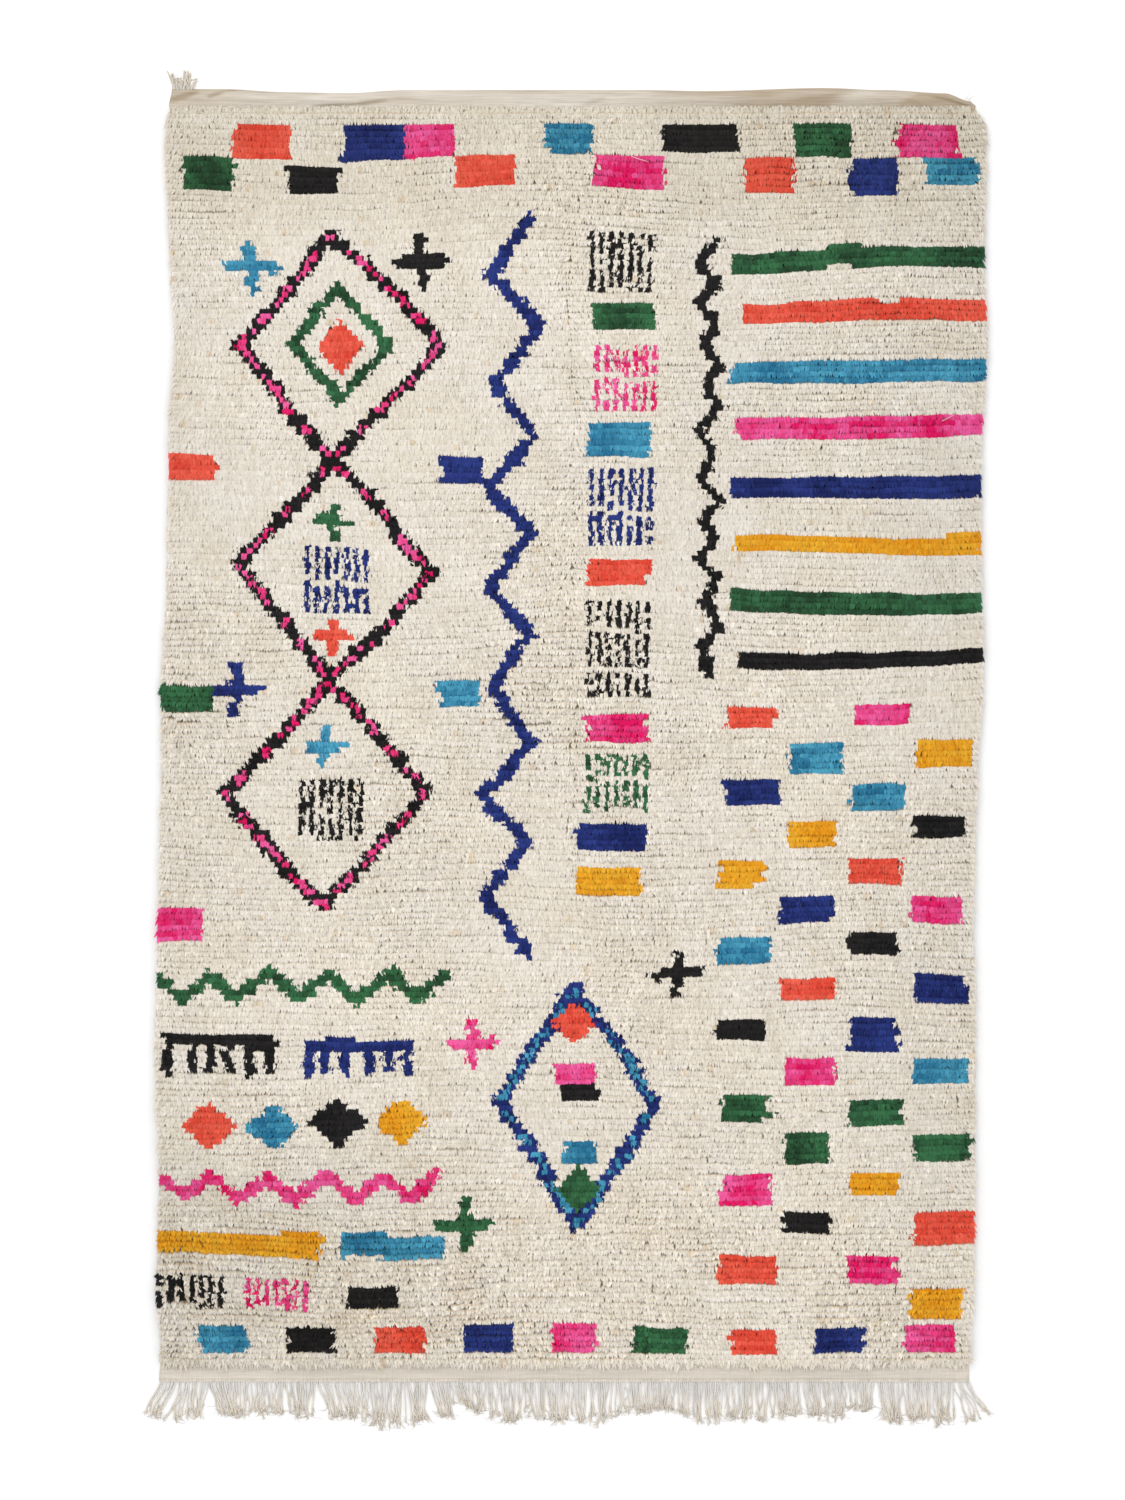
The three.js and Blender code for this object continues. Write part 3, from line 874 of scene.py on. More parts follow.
def zigzag_points(start, end, swing, turns):
    run = np.subtract(end, start)
    side = np.array([-run[1], run[0]]) / math.hypot(*run)
    return [start + run * i / turns + side * (swing if i % 2 else -swing) for i in range(turns + 1)]


def draw_bricks(chart):
    chance = np.random.default_rng(BRICK_SEED)
    for i in range(BRICK_ROWS):
        for j in range(BRICK_COLUMNS):
            across, down, wide, tall = (chance.uniform(low, high) for low, high in BRICK_STRAYS)
            across += BRICK_ACROSS + BRICK_STEP_ACROSS * j
            down += BRICK_DOWN + BRICK_STEP_DOWN * i + BRICK_LOWERED * (j % 2)
            dye = BRICK_DYES[(3 * i + 2 * j + i * j) % len(BRICK_DYES)]
            if down < BRICK_LAST:
                seed = BRICK_SEED + 4 * i + 37 * j
                box = rough_box(across, down, BRICK_WIDE + wide, BRICK_TALL + tall, seed)
                chart[box] = DYE_NAMES.index(dye)


def draw_lozenges(chart):
    for seed, edge, core, across, down, half_wide, half_tall, thick in seeded(LOZENGES, LOZENGE_SEED):
        turns = [(0, -half_tall), (half_wide, 0), (0, half_tall), (-half_wide, 0), (0, -half_tall)]
        draw_line(chart, edge, [(across + x, down + d) for x, d in turns], thick, seed, core)
    for dye, across, down, half_wide, half_tall in SOLID_LOZENGES:
        out = np.abs(ACROSS_CHART - across) / half_wide + np.abs(DOWN_CHART - down) / half_tall
        chart[out < 1] = DYE_NAMES.index(dye)


def draw_crosses(chart):
    for seed, dye, across, down, arm, thick in seeded(CROSSES, CROSS_SEED):
        draw_line(chart, dye, [(across - arm, down), (across + arm, down)], thick, seed)
        draw_line(chart, dye, [(across, down - arm), (across, down + arm)], thick, seed)


def draw_zigzags(chart):
    for seed, dye, start, end, swing, turns, thick in seeded(ZIGZAGS, ZIGZAG_SEED):
        draw_line(chart, dye, zigzag_points(start, end, swing, turns), thick, seed)


def draw_combs(chart):
    for seed, dye, across, down, wide, teeth, tooth in seeded(COMBS, COMB_SEED):
        draw_line(chart, dye, [(across, down), (across + wide, down)], COMB_SPINE, seed)
        for i in range(teeth):
            x = across + wide * i / (teeth - 1)
            draw_line(chart, dye, [(x, down), (x, down + tooth)], COMB_TOOTH, seed + 10 * i)


def draw_boxes(chart):
    seed = BOX_SEED
    for knots, rows, shape in (
        (rough_box, STRIPES, (STRIPE_SLOPE, STRIPE_WAVES)),
        (rough_box, BLOCKS + BORDER, ()),
        (hatched, HATCHES, ()),
    ):
        for dye, *place in rows:
            seed += 3
            chart[knots(*place, seed, *shape)] = DYE_NAMES.index(dye)


def design():
    """The number of the dye of each knot. Later motifs cover earlier ones."""
    chart = np.zeros((ROWS, KNOTS), dtype=int)
    for draw in (draw_bricks, draw_lozenges, draw_crosses, draw_zigzags, draw_combs, draw_boxes):
        draw(chart)
    return chart


def pile_sides(down):
    """The pile's outline at the left and at the right, with its rounded corners."""
    from_end = np.minimum(down - PLAIN_END, PILE_LAST - down)
    short = np.clip(CORNER_RADIUS - from_end, 0, CORNER_RADIUS)
    return sides(down, CORNER_RADIUS - np.sqrt(CORNER_RADIUS**2 - short**2))


def row_sway(across):
    """How far each row strays from its place, so that some rows stand apart and others close up."""
    chance = np.random.default_rng(ROW_SEED)
    sway = np.zeros_like(across)
    for _ in range(ROW_WAVES):
        pitch = chance.uniform(*ROW_WAVE_PITCH, (ROWS, 1))
        phase = chance.uniform(0, TURN, (ROWS, 1))
        sway += chance.normal(0, ROW_SWAY, (ROWS, 1)) * np.sin(TURN * across / pitch + phase)
    return sway


def knot_places():
    """Where each knot stands, across and down."""
    down = DOWN_CHART
    left, right = pile_sides(down)
    left, right = left + SIDE_MARGIN, right - SIDE_MARGIN
    share = (np.arange(KNOTS) + 0.5)[None, :] / KNOTS
    across = left + share * (right - left)
    across = across + tapered(share, KNOTS_TAPER) * drift("knots", across, down)
    calm_ends = np.clip(np.minimum(down - FIRST_ROW, LAST_ROW - down) / CALM_END, 0, 1)
    wander = drift("rows", across, down) + drift("ripples", across, down) + row_sway(across)
    return across, down + calm_ends * wander


def roughness_field(across, down):
    """How shaggy the pile is, from 0 to 1: more towards the fringe, along the fold and at the right."""
    fold = ROUGH_FOLD * bell(across - ROUGH_FOLD_ACROSS, ROUGH_FOLD_WIDTH) * ramp(down, *ROUGH_FOLD_DOWN)
    beside_fold = np.maximum(fold, parts_sum(ROUGH_RIGHT, across, down))
    parts = parts_sum(ROUGH_PARTS, across, down)
    return np.clip(ROUGH_LEAST + parts + beside_fold + drift("rough", across, down), 0, 1)


def wool_tone(across, down):
    """How bright the wool is: a little darker near the edges of the rug and at its upper right, partly as
    painted shade and partly as the wool's own tone.
    """
    band = BAND_TONE * bell(down - BAND_DOWN, BAND_WIDTH) * ramp(across, *BAND_ACROSS)
    return 1.0 + parts_sum(TONE_PARTS, across, down) + band


def parting_list():
    """The partings of the table and the short ones, as rows of numbers."""
    chance = np.random.default_rng(PARTING_SEED)
    rows = list(zip(*PARTINGS.values()))
    for _ in range(LOOSE_PARTINGS):
        across, down, length, depth = (chance.uniform(low, high) for low, high in LOOSE_PARTING)
        depth = depth + LOW_DEEPER * (down > LOW_DOWN)
        end_down = down + LOOSE_SLANT * length * chance.normal(0, 1)
        rows.append((across, down, across + length, end_down, depth))
    return rows


def parted(across, down):
    """How far partings cut the run of each knot's wisps, and how far they push the wisps down."""
    cut, push = np.zeros_like(across), np.zeros_like(across)
    for start, start_down, end, end_down, depth in parting_list():
        share = (across - start) / (end - start)
        line = start_down + (end_down - start_down) * share
        line = line + PARTING_SWAY * np.sin(across / PARTING_SWELL)
        below = (down - line) / PARTING_REACH
        near = tapered(share, PARTING_TAPER) * depth * bell(below, 1)
        cut += PARTING_CUT * near * (below < 0)
        push += PARTING_PUSH * near * (below >= 0)
    return np.clip(cut, 0, PARTING_CUT), np.clip(push, 0, PARTING_PUSH)


def fold_lean(across, down):
    """How far wisps lean away from the fold down the middle, in degrees."""
    line = FOLD_ACROSS + drift("fold", across, down)
    for sway, swell in FOLD_WAVES:
        line = line + sway * np.sin(down / swell)
    off = (across - line) / FOLD_SPREAD
    ends = ramp(down, *FOLD_START) * ramp(down, *FOLD_STOP)
    return FOLD_LEAN * ends * np.tanh(3 * off) * bell(off, 1)


def wisp_points(wisps, profile):
    """Five points of each wisp: two at its root, two at its bend and its tip."""
    points = []
    across, down, turn = wisps["across"], wisps["down"], wisps["lean"]
    for j in range(3):
        if j:
            step = (profile["run"][j] - profile["run"][j - 1]) * wisps["run"]
            across = across + step * np.sin(turn)
            down = down + step * np.cos(turn)
            turn = turn + wisps["bend"]
        up = profile["height"][j] * (wisps["lift"] if j else np.ones_like(across))
        if j == 2:
            points.append(frame_points(across, down, up))
            break
        half = profile["width"][j] / 2 * wisps["wide"]
        flat = half * np.cos(wisps["roll"])
        side_x, side_down = flat * np.cos(turn), -flat * np.sin(turn)
        tilt = half * np.sin(wisps["roll"])
        points.append(frame_points(across - side_x, down - side_down, up - tilt))
        points.append(frame_points(across + side_x, down + side_down, up + tilt))
    points = np.stack(points, axis=-2)
    points[..., 2] = np.maximum(points[..., 2], LOWEST * MM)
    return points


def wisp_piece(name, points, dye, untinted):
    """Wisps as one mesh. Each pair of yarn ends has its own square of the map for baking.

    The note is how far along its run a point of a wisp is, from what its root counts as; the material paints
    shade at the root by it.
    """
    count = len(points)
    per_home = YARNS * WISPS
    side = math.ceil(math.sqrt(math.ceil(count / per_home)))
    wisp = np.arange(count)
    home, seat = wisp // per_home, wisp % per_home
    u = (home % side + (seat % WISPS) / WISPS)[:, None] + WISP_CELL[:, 0] / WISPS
    v = (home // side + (seat // WISPS) / YARNS)[:, None] + WISP_CELL[:, 1] / YARNS
    cells = np.stack([u, v], axis=-1).reshape(-1, 2) / side
    base = WISP_POINTS * wisp[:, None, None]
    quads = (WISP_QUADS + base).reshape(-1, 4)
    triangles = (WISP_TRIANGLES + base).reshape(-1, 3)
    corners = np.concatenate([quads.ravel(), triangles.ravel()])
    along = untinted[:, None]
    along = (along + (1 - along) * WISP["run"][WISP_SECTION]).ravel()
    dyes = np.repeat(dye, WISP_POINTS, axis=0)
    piece = make_piece(name, points.reshape(-1, 3), [quads, triangles], dyes, along, cells[corners])
    add_map(piece.data, "strands", np.tile(WISP_CELL, (count, 1))[corners])
    return piece


def knot_dyes(chart, across, down):
    """The colour of each knot: its dye between the two shades, with a few tan ones in the cream.

    The wool is a little tanner along the plain end, and in patches.
    """
    chance = np.random.default_rng(SHADE_SEED)
    dark, light = (np.stack([linear(DYES[name][i]) for name in DYE_NAMES]) for i in (0, 1))
    share = 0.5 + drift("shade", across, down) + KNOT_SHADE * chance.normal(0, 1, chart.shape)
    share = share + ROW_SHADE * np.sin(ROW_SHADE_STEP * np.arange(ROWS))[:, None]
    share = np.clip(share, 0, 1)[:, :, None]
    dye = dark[chart] * (1 - share) + light[chart] * share
    tan = (chance.random(chart.shape) < TAN_KNOTS) & (chart == 0)
    dye[tan] *= TAN_KNOT
    patches = np.clip(drift("tanned", across, down), 0, 1)
    tanned = TANNED_TOP * ramp(down, *TANNED_DOWN) + TANNED_PATCHES * patches
    dye = dye * (1 - tanned[:, :, None] * TANNED)
    # Partly painted shade towards the edges, partly the wool's own tone
    return dye * wool_tone(across, down)[:, :, None]


def strayed(chance, draws, yarns, rough, base):
    """A base and how far yarn ends and wisps stray from it, where yarns is the shape of the yarn ends."""
    for each, calm, shaggy in draws:
        base = base + chance.normal(0, 1, (*yarns, each)) * (calm + shaggy * rough)
    return base


def pile(chart, across, down, dye):
    chance = np.random.default_rng(PILE_SEED)

    def stray(name, base=0.0):
        return strayed(chance, PILE_STRAYS[name], (ROWS, KNOTS, YARNS), rough, base)

    def for_all(field):
        return field[:, :, None, None]

    rough_knots = roughness_field(across, down)
    rough = for_all(rough_knots)
    smooth = 1 - ramp(rough, 0, SMOOTH_UP_TO)
    cut, push = parted(across, down)
    cut = cut * (SMOOTH_CUT + (1 - SMOOTH_CUT) * rough_knots)
    first = (np.arange(YARNS) - (YARNS - 1) / 2)[:, None] * KNOT_PITCH / YARNS
    x = stray("across", for_all(across) + first + WISP_SIDES * WISP_OFFSET)
    d = stray("down", for_all(down + push))

    # Wisps fan out of their yarn, lean outwards at the sides, and are ragged at the edges of patches
    knot = np.arange(KNOTS)[None, :, None, None]
    from_side = np.minimum(knot, KNOTS - 1 - knot)
    outwards = np.where(knot < KNOTS / 2, -1, 1) * np.clip(1 - from_side / SIDE_KNOTS, 0, 1)
    edge = np.zeros((ROWS, KNOTS), bool)
    edge[:, 1:] |= chart[:, 1:] != chart[:, :-1]
    edge[:, :-1] |= chart[:, 1:] != chart[:, :-1]
    fan = WISP_FAN + (SMOOTH_FAN - WISP_FAN) * smooth
    lean = stray("lean") + WISP_SIDES * fan
    lean = lean + for_all(drift("lean", across, down) + fold_lean(across, down))
    lean = lean + outwards * (SIDE_LEAN + np.abs(stray("outwards"))) + for_all(edge) * stray("patch_edge")

    run = stray("run", 1) + for_all(drift("run", across, down))
    run = run - ROUGH_SHORTER * rough + SMOOTH_LONGER * smooth
    lift = stray("lift", 1) - OUTER_LOWER * np.abs(WISP_SIDES)
    wisps = {
        "across": x,
        "down": d,
        "lean": np.radians(lean),
        "bend": np.radians(stray("bend")),
        "run": WISP_RUN * run * for_all(1 - cut),
        "lift": lift + for_all(drift("lift", across, down)),
        "roll": stray("roll", -WISP_SIDES * WISP_ROLL),
        "wide": stray("wide", 1) + SMOOTH_WIDER * smooth,
    }
    points = wisp_points(wisps, WISP)
    tone = stray("tone", 1) * (1 + (SMOOTH_TONE - 1) * smooth)
    wisp_dye = dye[:, :, None, None, :] * tone[..., None]
    # The smooth pile's roots show less of the painted root shade
    untinted = np.broadcast_to(SMOOTH_UNTINTED * (1 - rough), tone.shape)
    pieces = []
    for i, knots in enumerate(np.array_split(np.arange(KNOTS), PILE_PIECES)):
        part = points[:, knots].reshape(-1, WISP_POINTS, 3)
        part_dye = wisp_dye[:, knots].reshape(-1, 3)
        pieces.append(wisp_piece(f"pile_{i + 1}", part, part_dye, untinted[:, knots].ravel()))
    return pieces


def nearest_row(down):
    return np.clip(np.round((down - FIRST_ROW) / ROW_PITCH), 0, ROWS - 1).astype(int)


def rim_edges():
    """The pile's edges: their layers, places across and down, way out, lean, row and knot."""
    down = np.arange(*RIM_DOWN, RIM_PITCH)
    row = nearest_row(down)
    left, right = pile_sides(down)
    edges = [
        (RIM_LAYERS, left, down, (-1, 0), -RIM_LEAN, row, 0),
        (RIM_LAYERS, right, down, (1, 0), RIM_LEAN, row, KNOTS - 1),
    ]
    for layers, end, out, lean, row in (
        (CREST_LAYERS, PLAIN_END, -1, 180, 0),
        (LAST_LAYERS, PILE_LAST, 1, 0, ROWS - 1),
    ):
        start, stop = map(float, pile_sides(np.array(end - RIM_CORNER * out)))
        across = np.arange(start + RIM_MARGIN, stop - RIM_MARGIN, RIM_PITCH)
        knot = (across - across[0]) / (across[-1] - across[0]) * (KNOTS - 1)
        edges.append((layers, across, end, (0, out), lean, row, np.round(knot).astype(int)))
    return edges


def rim_locks(chance, edge, dye):
    """Points, dyes and root shares of the locks along one edge of the pile, layer by layer; a root share
    tells how much of the painted root shade is left out.
    """
    layers, across, down, out, lean, row, knot = edge
    across, down, row, knot = np.broadcast_arrays(across, down, row, knot)
    ragged = LAST_RAGGED if layers is LAST_LAYERS else RIM_RAGGED

    def stray(name, base=0.0):
        return strayed(chance, RIM_STRAYS[name], across.shape, ragged, base)

    locks = []
    for inset, run, root_up, bend_up, tip_up, untinted in zip(*layers.values()):
        x = (across - out[0] * inset)[:, None] + abs(out[1]) * WISP_SIDES * WISP_OFFSET
        d = (down - out[1] * inset)[:, None] + abs(out[0]) * WISP_SIDES * WISP_OFFSET
        wisps = {
            "lean": np.radians(stray("lean", lean) + WISP_SIDES * WISP_FAN),
            "across": stray("place", x),
            "down": stray("place", d),
            "bend": np.radians(stray("bend")),
            "run": run * stray("run", 1),
            "lift": stray("lift", 1),
            "roll": stray("roll"),
            "wide": stray("wide", RIM_WIDE),
        }
        points = wisp_points(wisps, {**WISP, "height": (root_up, bend_up, tip_up)})
        points = points.reshape(-1, WISP_POINTS, 3)
        dyes = dye[row, knot][:, None, :] * stray("tone", 1)[..., None]
        locks.append((points, dyes.reshape(-1, 3), np.full(len(points), untinted)))
    return locks


def pile_rim(dye):
    chance = np.random.default_rng(RIM_SEED)
    locks = [layer for edge in rim_edges() for layer in rim_locks(chance, edge, dye)]
    points, dyes, untinted = map(np.concatenate, zip(*locks))
    return wisp_piece("pile_rim", points, dyes, untinted)


def crease_height(across, down):
    """How much the creases raise the plain end, or lower it."""
    total = np.zeros_like(across)
    for start, start_down, end, end_down, height, width in zip(*CREASES.values()):
        gap, passed = beside(across, down, (start, start_down), (end, end_down))
        total += height * np.sin(math.pi * (0.1 + 0.8 * passed)) * bell(gap, width)
    return total


def plain_roll(across, down):
    """How high the weave rolls up along the plain end."""
    past = ramp(down, PLAIN_END, 0)
    return between(PLAIN_EDGE, "across", "roll", across) * np.sin(math.pi * past) ** 2


def weave_top(across, down):
    """Height of the ground weave's upper face."""
    y = RUG_LENGTH / 2 - down
    wave = WEAVE_WAVE * (1 + np.sin(across / WEAVE_SWELLS[0]) * np.cos(y / WEAVE_SWELLS[1]))
    turned = HEM_HEIGHT * bell(down - HEM_DOWN, HEM_WIDTH) * (1 + 0.5 * np.sin(across / HEM_SWELL))
    thinned = 1 - EDGE_THINNER * np.exp(-down / EDGE_DEPTH)
    height = (WEAVE_THICKNESS + wave) * thinned + plain_roll(across, down)
    return height + turned + crease_height(across, down)


def weft_dye(across, down):
    """Colours of the flat-woven ends, with painted shade along the folds and in the creases, and painted
    light beside the pile.
    """
    slanted = across + SHADE_SLANT * (down - PLAIN_END / 2)
    # Partly painted shade in and beside the folds, partly the cloth's own tan
    share = between(PLAIN_SHADE, "across", "dark", slanted) + drift("plain", across, 6 * down)
    edge = EDGE_SHADE * bell(down, EDGE_SHADE_WIDTH)
    low = ramp(down, 0, PLAIN_END) * (LOW_SHADE + LOW_RIGHT_SHADE * ramp(across, *LOW_RIGHT_ACROSS))
    # Painted shade along the turned edge
    fold = between(FOLD_SHADE, "across", "dark", across) * ramp(down, FOLD_DEPTH, FOLD_DEPTH - 4)
    shade = blend(WEFT_LIGHT, WEFT_DARK, np.clip(share + edge + low + fold, 0, 1))
    # Painted shadow in the low parts of the creases
    trough_shadow = CREASE_SHADE * np.clip(-crease_height(across, down), 0, 1)[..., None]
    plain = shade * (1 - trough_shadow) + linear(WEFT_TROUGH_SHADOW) * trough_shadow
    # Painted light at the pile's foot, against the shade that the pile casts there
    plain = plain * (1 + PILE_FOOT_PAINTED_LIGHT * bell(PLAIN_END - down, PILE_FOOT_WIDTH))[..., None]
    fringed = linear(WEFT_FRINGED) * (1 + drift("fringed", across, 4 * down))[..., None]
    return np.where((down > RUG_LENGTH / 2)[..., None], fringed, plain)


def back_dye(across, down, dye):
    """Colours of the underside, where each knot shows its back."""
    left, right = sides(down)
    knot = np.clip((across - left) / (right - left) * KNOTS, 0, KNOTS - 1).astype(int)
    knotted = ((down > FIRST_ROW - 4) & (down < LAST_ROW + 4))[..., None]
    return np.where(knotted, BACK_DYE * dye[nearest_row(down), knot] + BACK_PALE, linear(WEFT_BACK))


def weave_grid(downs):
    """Places on the ground weave, across and down, for a list of places down."""
    down = np.repeat(downs[:, None], WEAVE_COLUMNS, axis=1)
    beneath = ramp(down, PLAIN_END, PLAIN_END + WEAVE_FADE) * ramp(down, PILE_LAST, PILE_LAST - WEAVE_FADE)
    left, right = sides(down, END_INSET + (WEAVE_INSET - END_INSET) * beneath)
    return left + np.linspace(0, 1, WEAVE_COLUMNS)[None, :] * (right - left), down


def grid_quads(rows, columns, first=0):
    i = np.arange(rows - 1)[:, None] * columns + np.arange(columns - 1)[None, :] + first
    return np.stack([i, i + columns, i + columns + 1, i + 1], axis=-1).reshape(-1, 4)


def closed_grid(name, upper, lower, upper_dye, lower_dye, note, upper_v, lower_v):
    """A thin closed cloth from two grids of points, with walls round its rim."""
    rows, columns = upper.shape[:2]
    count = rows * columns
    index = np.arange(count).reshape(rows, columns)
    rim = np.concatenate([index[:, 0], index[-1, 1:], index[:-1, -1][::-1], index[0, 1:-1][::-1]])
    after = np.roll(rim, -1)
    walls = np.stack([rim, rim + count, after + count, after], axis=-1)
    faces_up = grid_quads(rows, columns)
    faces_down = grid_quads(rows, columns, count)[:, ::-1]
    share = np.broadcast_to(np.linspace(0, 1, columns), (rows, columns))
    face_cells = np.concatenate([np.stack([share, v], axis=-1).reshape(-1, 2) for v in (upper_v, lower_v)])
    place = np.arange(len(rim)) / len(rim)
    end = place + 1 / len(rim)
    low, high = np.full(len(rim), MAP_RIM), np.ones(len(rim))
    wall_cells = np.stack([place, high, place, low, end, low, end, high], axis=-1).reshape(-1, 2)
    cells = np.concatenate([face_cells[faces_up.ravel()], face_cells[faces_down.ravel()], wall_cells])
    points = np.concatenate([upper.reshape(-1, 3), lower.reshape(-1, 3)])
    dyes = np.concatenate([upper_dye.reshape(-1, 3), lower_dye.reshape(-1, 3)])
    return make_piece(name, points, [faces_up, faces_down, walls], dyes, np.tile(note.ravel(), 2), cells)


def weave(dye):
    across, down = weave_grid(np.concatenate([
        np.linspace(0, PLAIN_END + 3, WEAVE_END_ROWS),
        np.linspace(FIRST_ROW, LAST_ROW, WEAVE_MIDDLE_ROWS),
        np.linspace(PILE_LAST - 12, RUG_LENGTH - STRIP_DEPTH, WEAVE_LAST_ROWS),
    ]))
    rise = between(PLAIN_EDGE, "across", "rise", across) * np.clip(1 - down / PLAIN_END, 0, 1)
    upper = frame_points(across, down - rise, weave_top(across, down))
    lower = frame_points(across, down - rise, WEAVE_LIFT * plain_roll(across, down))
    upper_v = np.interp(down, MAP_PARTS["down"], MAP_PARTS["place"])
    lower_v = MAP_BACK + (MAP_RIM - MAP_GAP - MAP_BACK) * down / RUG_LENGTH
    upright = WEAVE_UPRIGHT * ramp(down, RUG_LENGTH / 2, RUG_LENGTH / 2 + WEAVE_FADE)
    upper_dye = weft_dye(across, down)
    lower_dye = back_dye(across, down, dye)
    return closed_grid("weave", upper, lower, upper_dye, lower_dye, upright, upper_v, lower_v)


def fringe_strip():
    """The last wefts, which hold the roots of the fringe."""
    share = (STRIP["depth"] / STRIP_DEPTH)[:, None]
    across, down = weave_grid(RUG_LENGTH - STRIP_DEPTH + STRIP["depth"])
    ragged = drift("strip_edge", across, down) * share
    top = STRIP["height"][:, None] + drift("strip_height", across, down)
    upper = frame_points(across, down + ragged, top)
    lower = frame_points(across, down + ragged, np.zeros_like(across))
    shade = linear(WEFT_FRINGED) * (1 + drift("strip_tone", across, down))[..., None]
    v = np.repeat(share, WEAVE_COLUMNS, axis=1)
    upright = np.ones_like(across)
    return closed_grid("fringe_bottom_strip", upper, lower, shade, shade, upright, 0.45 * v, 0.5 + 0.45 * v)


def yarn_paths(root, root_down, tip, tip_down, curl, sections, chance):
    """Lines from roots to tips over the floor, one a row: a little wavy, with hooked ends."""
    count = len(root)
    along = np.linspace(0, 1, sections)[None, :]
    root, root_down, tip, tip_down = (place[:, None] for place in (root, root_down, tip, tip_down))
    waves = along * chance.uniform(*YARN_WAVES, (count, 1))
    wave = chance.normal(0, YARN_SWAY, (count, 1)) * np.sin(TURN * waves)
    hook = chance.normal(0, curl, (count, 1)) * ramp(along, HOOK_FROM, 1) ** 2
    x = root + (tip - root) * (YARN_EASE * eased(along) + (1 - YARN_EASE) * along) + wave + hook
    d = root_down + (tip_down - root_down) * along
    return x, d - HOOK_BACK * np.abs(hook) * np.sign(tip_down - root_down)


def tubes(name, x, d, up, radius, dye, facets):
    """Thin closed tubes along lines of points, one line a row, with a map for their twist."""
    count, sections = x.shape
    way_x, way_d = np.gradient(x, axis=1), np.gradient(d, axis=1)
    norm = np.hypot(way_x, way_d)
    side_x, side_d = (way_d / norm)[..., None], (-way_x / norm)[..., None]
    turn = TURN * np.arange(facets) / facets
    out = radius[..., None] * np.cos(turn)
    height = np.maximum(up[..., None] + radius[..., None] * np.sin(turn), LOWEST_YARN)
    points = frame_points(x[..., None] + side_x * out, d[..., None] + side_d * out, height)
    ring = np.arange(facets)
    after = np.roll(ring, -1)
    first = facets * sections * np.arange(count)[:, None, None]
    base = first + facets * np.arange(sections - 1)[None, :, None]
    quads = [base + ring, base + after, base + after + facets, base + ring + facets]
    quads = np.stack(quads, axis=-1).reshape(-1, 4)
    roots = (first[:, 0] + ring)[:, ::-1]
    tips = first[:, 0] + facets * (sections - 1) + ring
    dyes = np.broadcast_to(dye[:, :, None, :], (count, sections, facets, 3)).reshape(-1, 3)
    piece = make_piece(name, points.reshape(-1, 3), [quads, roots, tips], dyes, 1.0)

    length = np.concatenate([np.zeros((count, 1)), np.cumsum(norm[:, 1:], axis=1)], axis=1) / CORD_TWIST
    from_u, to_u = (ring / facets)[None, None, :], ((ring + 1) / facets)[None, None, :]
    from_v, to_v = length[:, :-1, None], length[:, 1:, None]
    corners = [(from_u, from_v), (to_u, from_v), (to_u, to_v), (from_u, to_v)]
    places = np.stack([np.stack(np.broadcast_arrays(u, v), axis=-1) for u, v in corners], axis=-2)
    ends = np.zeros((2 * count * facets, 2))
    add_map(piece.data, "twist", np.concatenate([places.reshape(-1, 2), ends]))
    return piece


def yarn_dye(along, count, chance):
    """Colours of yarns along their length: tan ends, and each yarn a little different."""
    share = ramp(along, *YARN_TAN_START) * chance.uniform(*YARN_TAN, (count, 1))
    tone = 1 + chance.normal(0, YARN_TONE, (count, 1, 1))
    return blend(CORD_ROOT, CORD_TIP, np.clip(share, 0, 1)) * tone


def lay_yarns(name, roots, tips, thick, layer, curl, frays_each, tone, chance):
    """Yarns on the floor as one piece, and the loose fibre ends that they fray into as another."""
    (root, root_down), (tip, tip_down) = roots, tips
    count = len(root)
    x, d = yarn_paths(root, root_down, tip, tip_down, curl, CORD_SECTIONS, chance)
    along = np.linspace(0, 1, CORD_SECTIONS)[None, :]
    lumps = 1 + CORD_LUMPS * np.sin(40 * along + 7 * layer[:, None])
    radius = thick[:, None] / 2 * (1 - CORD_TAPER * along) * lumps
    radius[:, -1] *= CORD_END
    stacked = layer[:, None] * LAYER_HEIGHT * np.sin(math.pi * np.clip(along * 1.1, 0, 1)) ** 0.7
    start = WEAVE_THICKNESS / 2 * (1 - ramp(along, 0, ROOT_SHARE))
    up = np.maximum(start, radius) + stacked
    dye = tone * yarn_dye(along, count, chance)
    yarns = tubes(f"{name}_yarns", x, d, up, radius, dye, CORD_SIDES)

    # Each loose end leaves its yarn at one of the yarn's own points
    whose = np.repeat(np.arange(count), frays_each)
    count = len(whose)
    leave = chance.integers(CORD_SECTIONS // 2, CORD_SECTIONS - 1, count)
    start_up = up[whose, leave][:, None]
    way = np.sign(tip_down - root_down)[whose]
    end_x = x[whose, -1] + chance.normal(0, FRAY_ACROSS, count)
    end_d = d[whose, -1] + way * chance.uniform(*FRAY_LONGER, count)
    starts = x[whose, leave], d[whose, leave]
    fray_x, fray_d = yarn_paths(*starts, end_x, end_d, FRAY_CURL * curl, FRAY_SECTIONS, chance)
    share = np.linspace(0, 1, FRAY_SECTIONS)[None, :]
    fray_radius = chance.uniform(*FRAY_RADIUS, (count, 1)) * (1 - FRAY_TAPER * share)
    fray_up = fray_radius + start_up * (1 - share) + chance.uniform(0, FRAY_UP, (count, 1)) * share
    fray_dye = tone * yarn_dye(0.5 + 0.5 * share, count, chance)
    frays = tubes(f"{name}_frays", fray_x, fray_d, fray_up, fray_radius, fray_dye, FRAY_SIDES)
    return [yarns, frays]


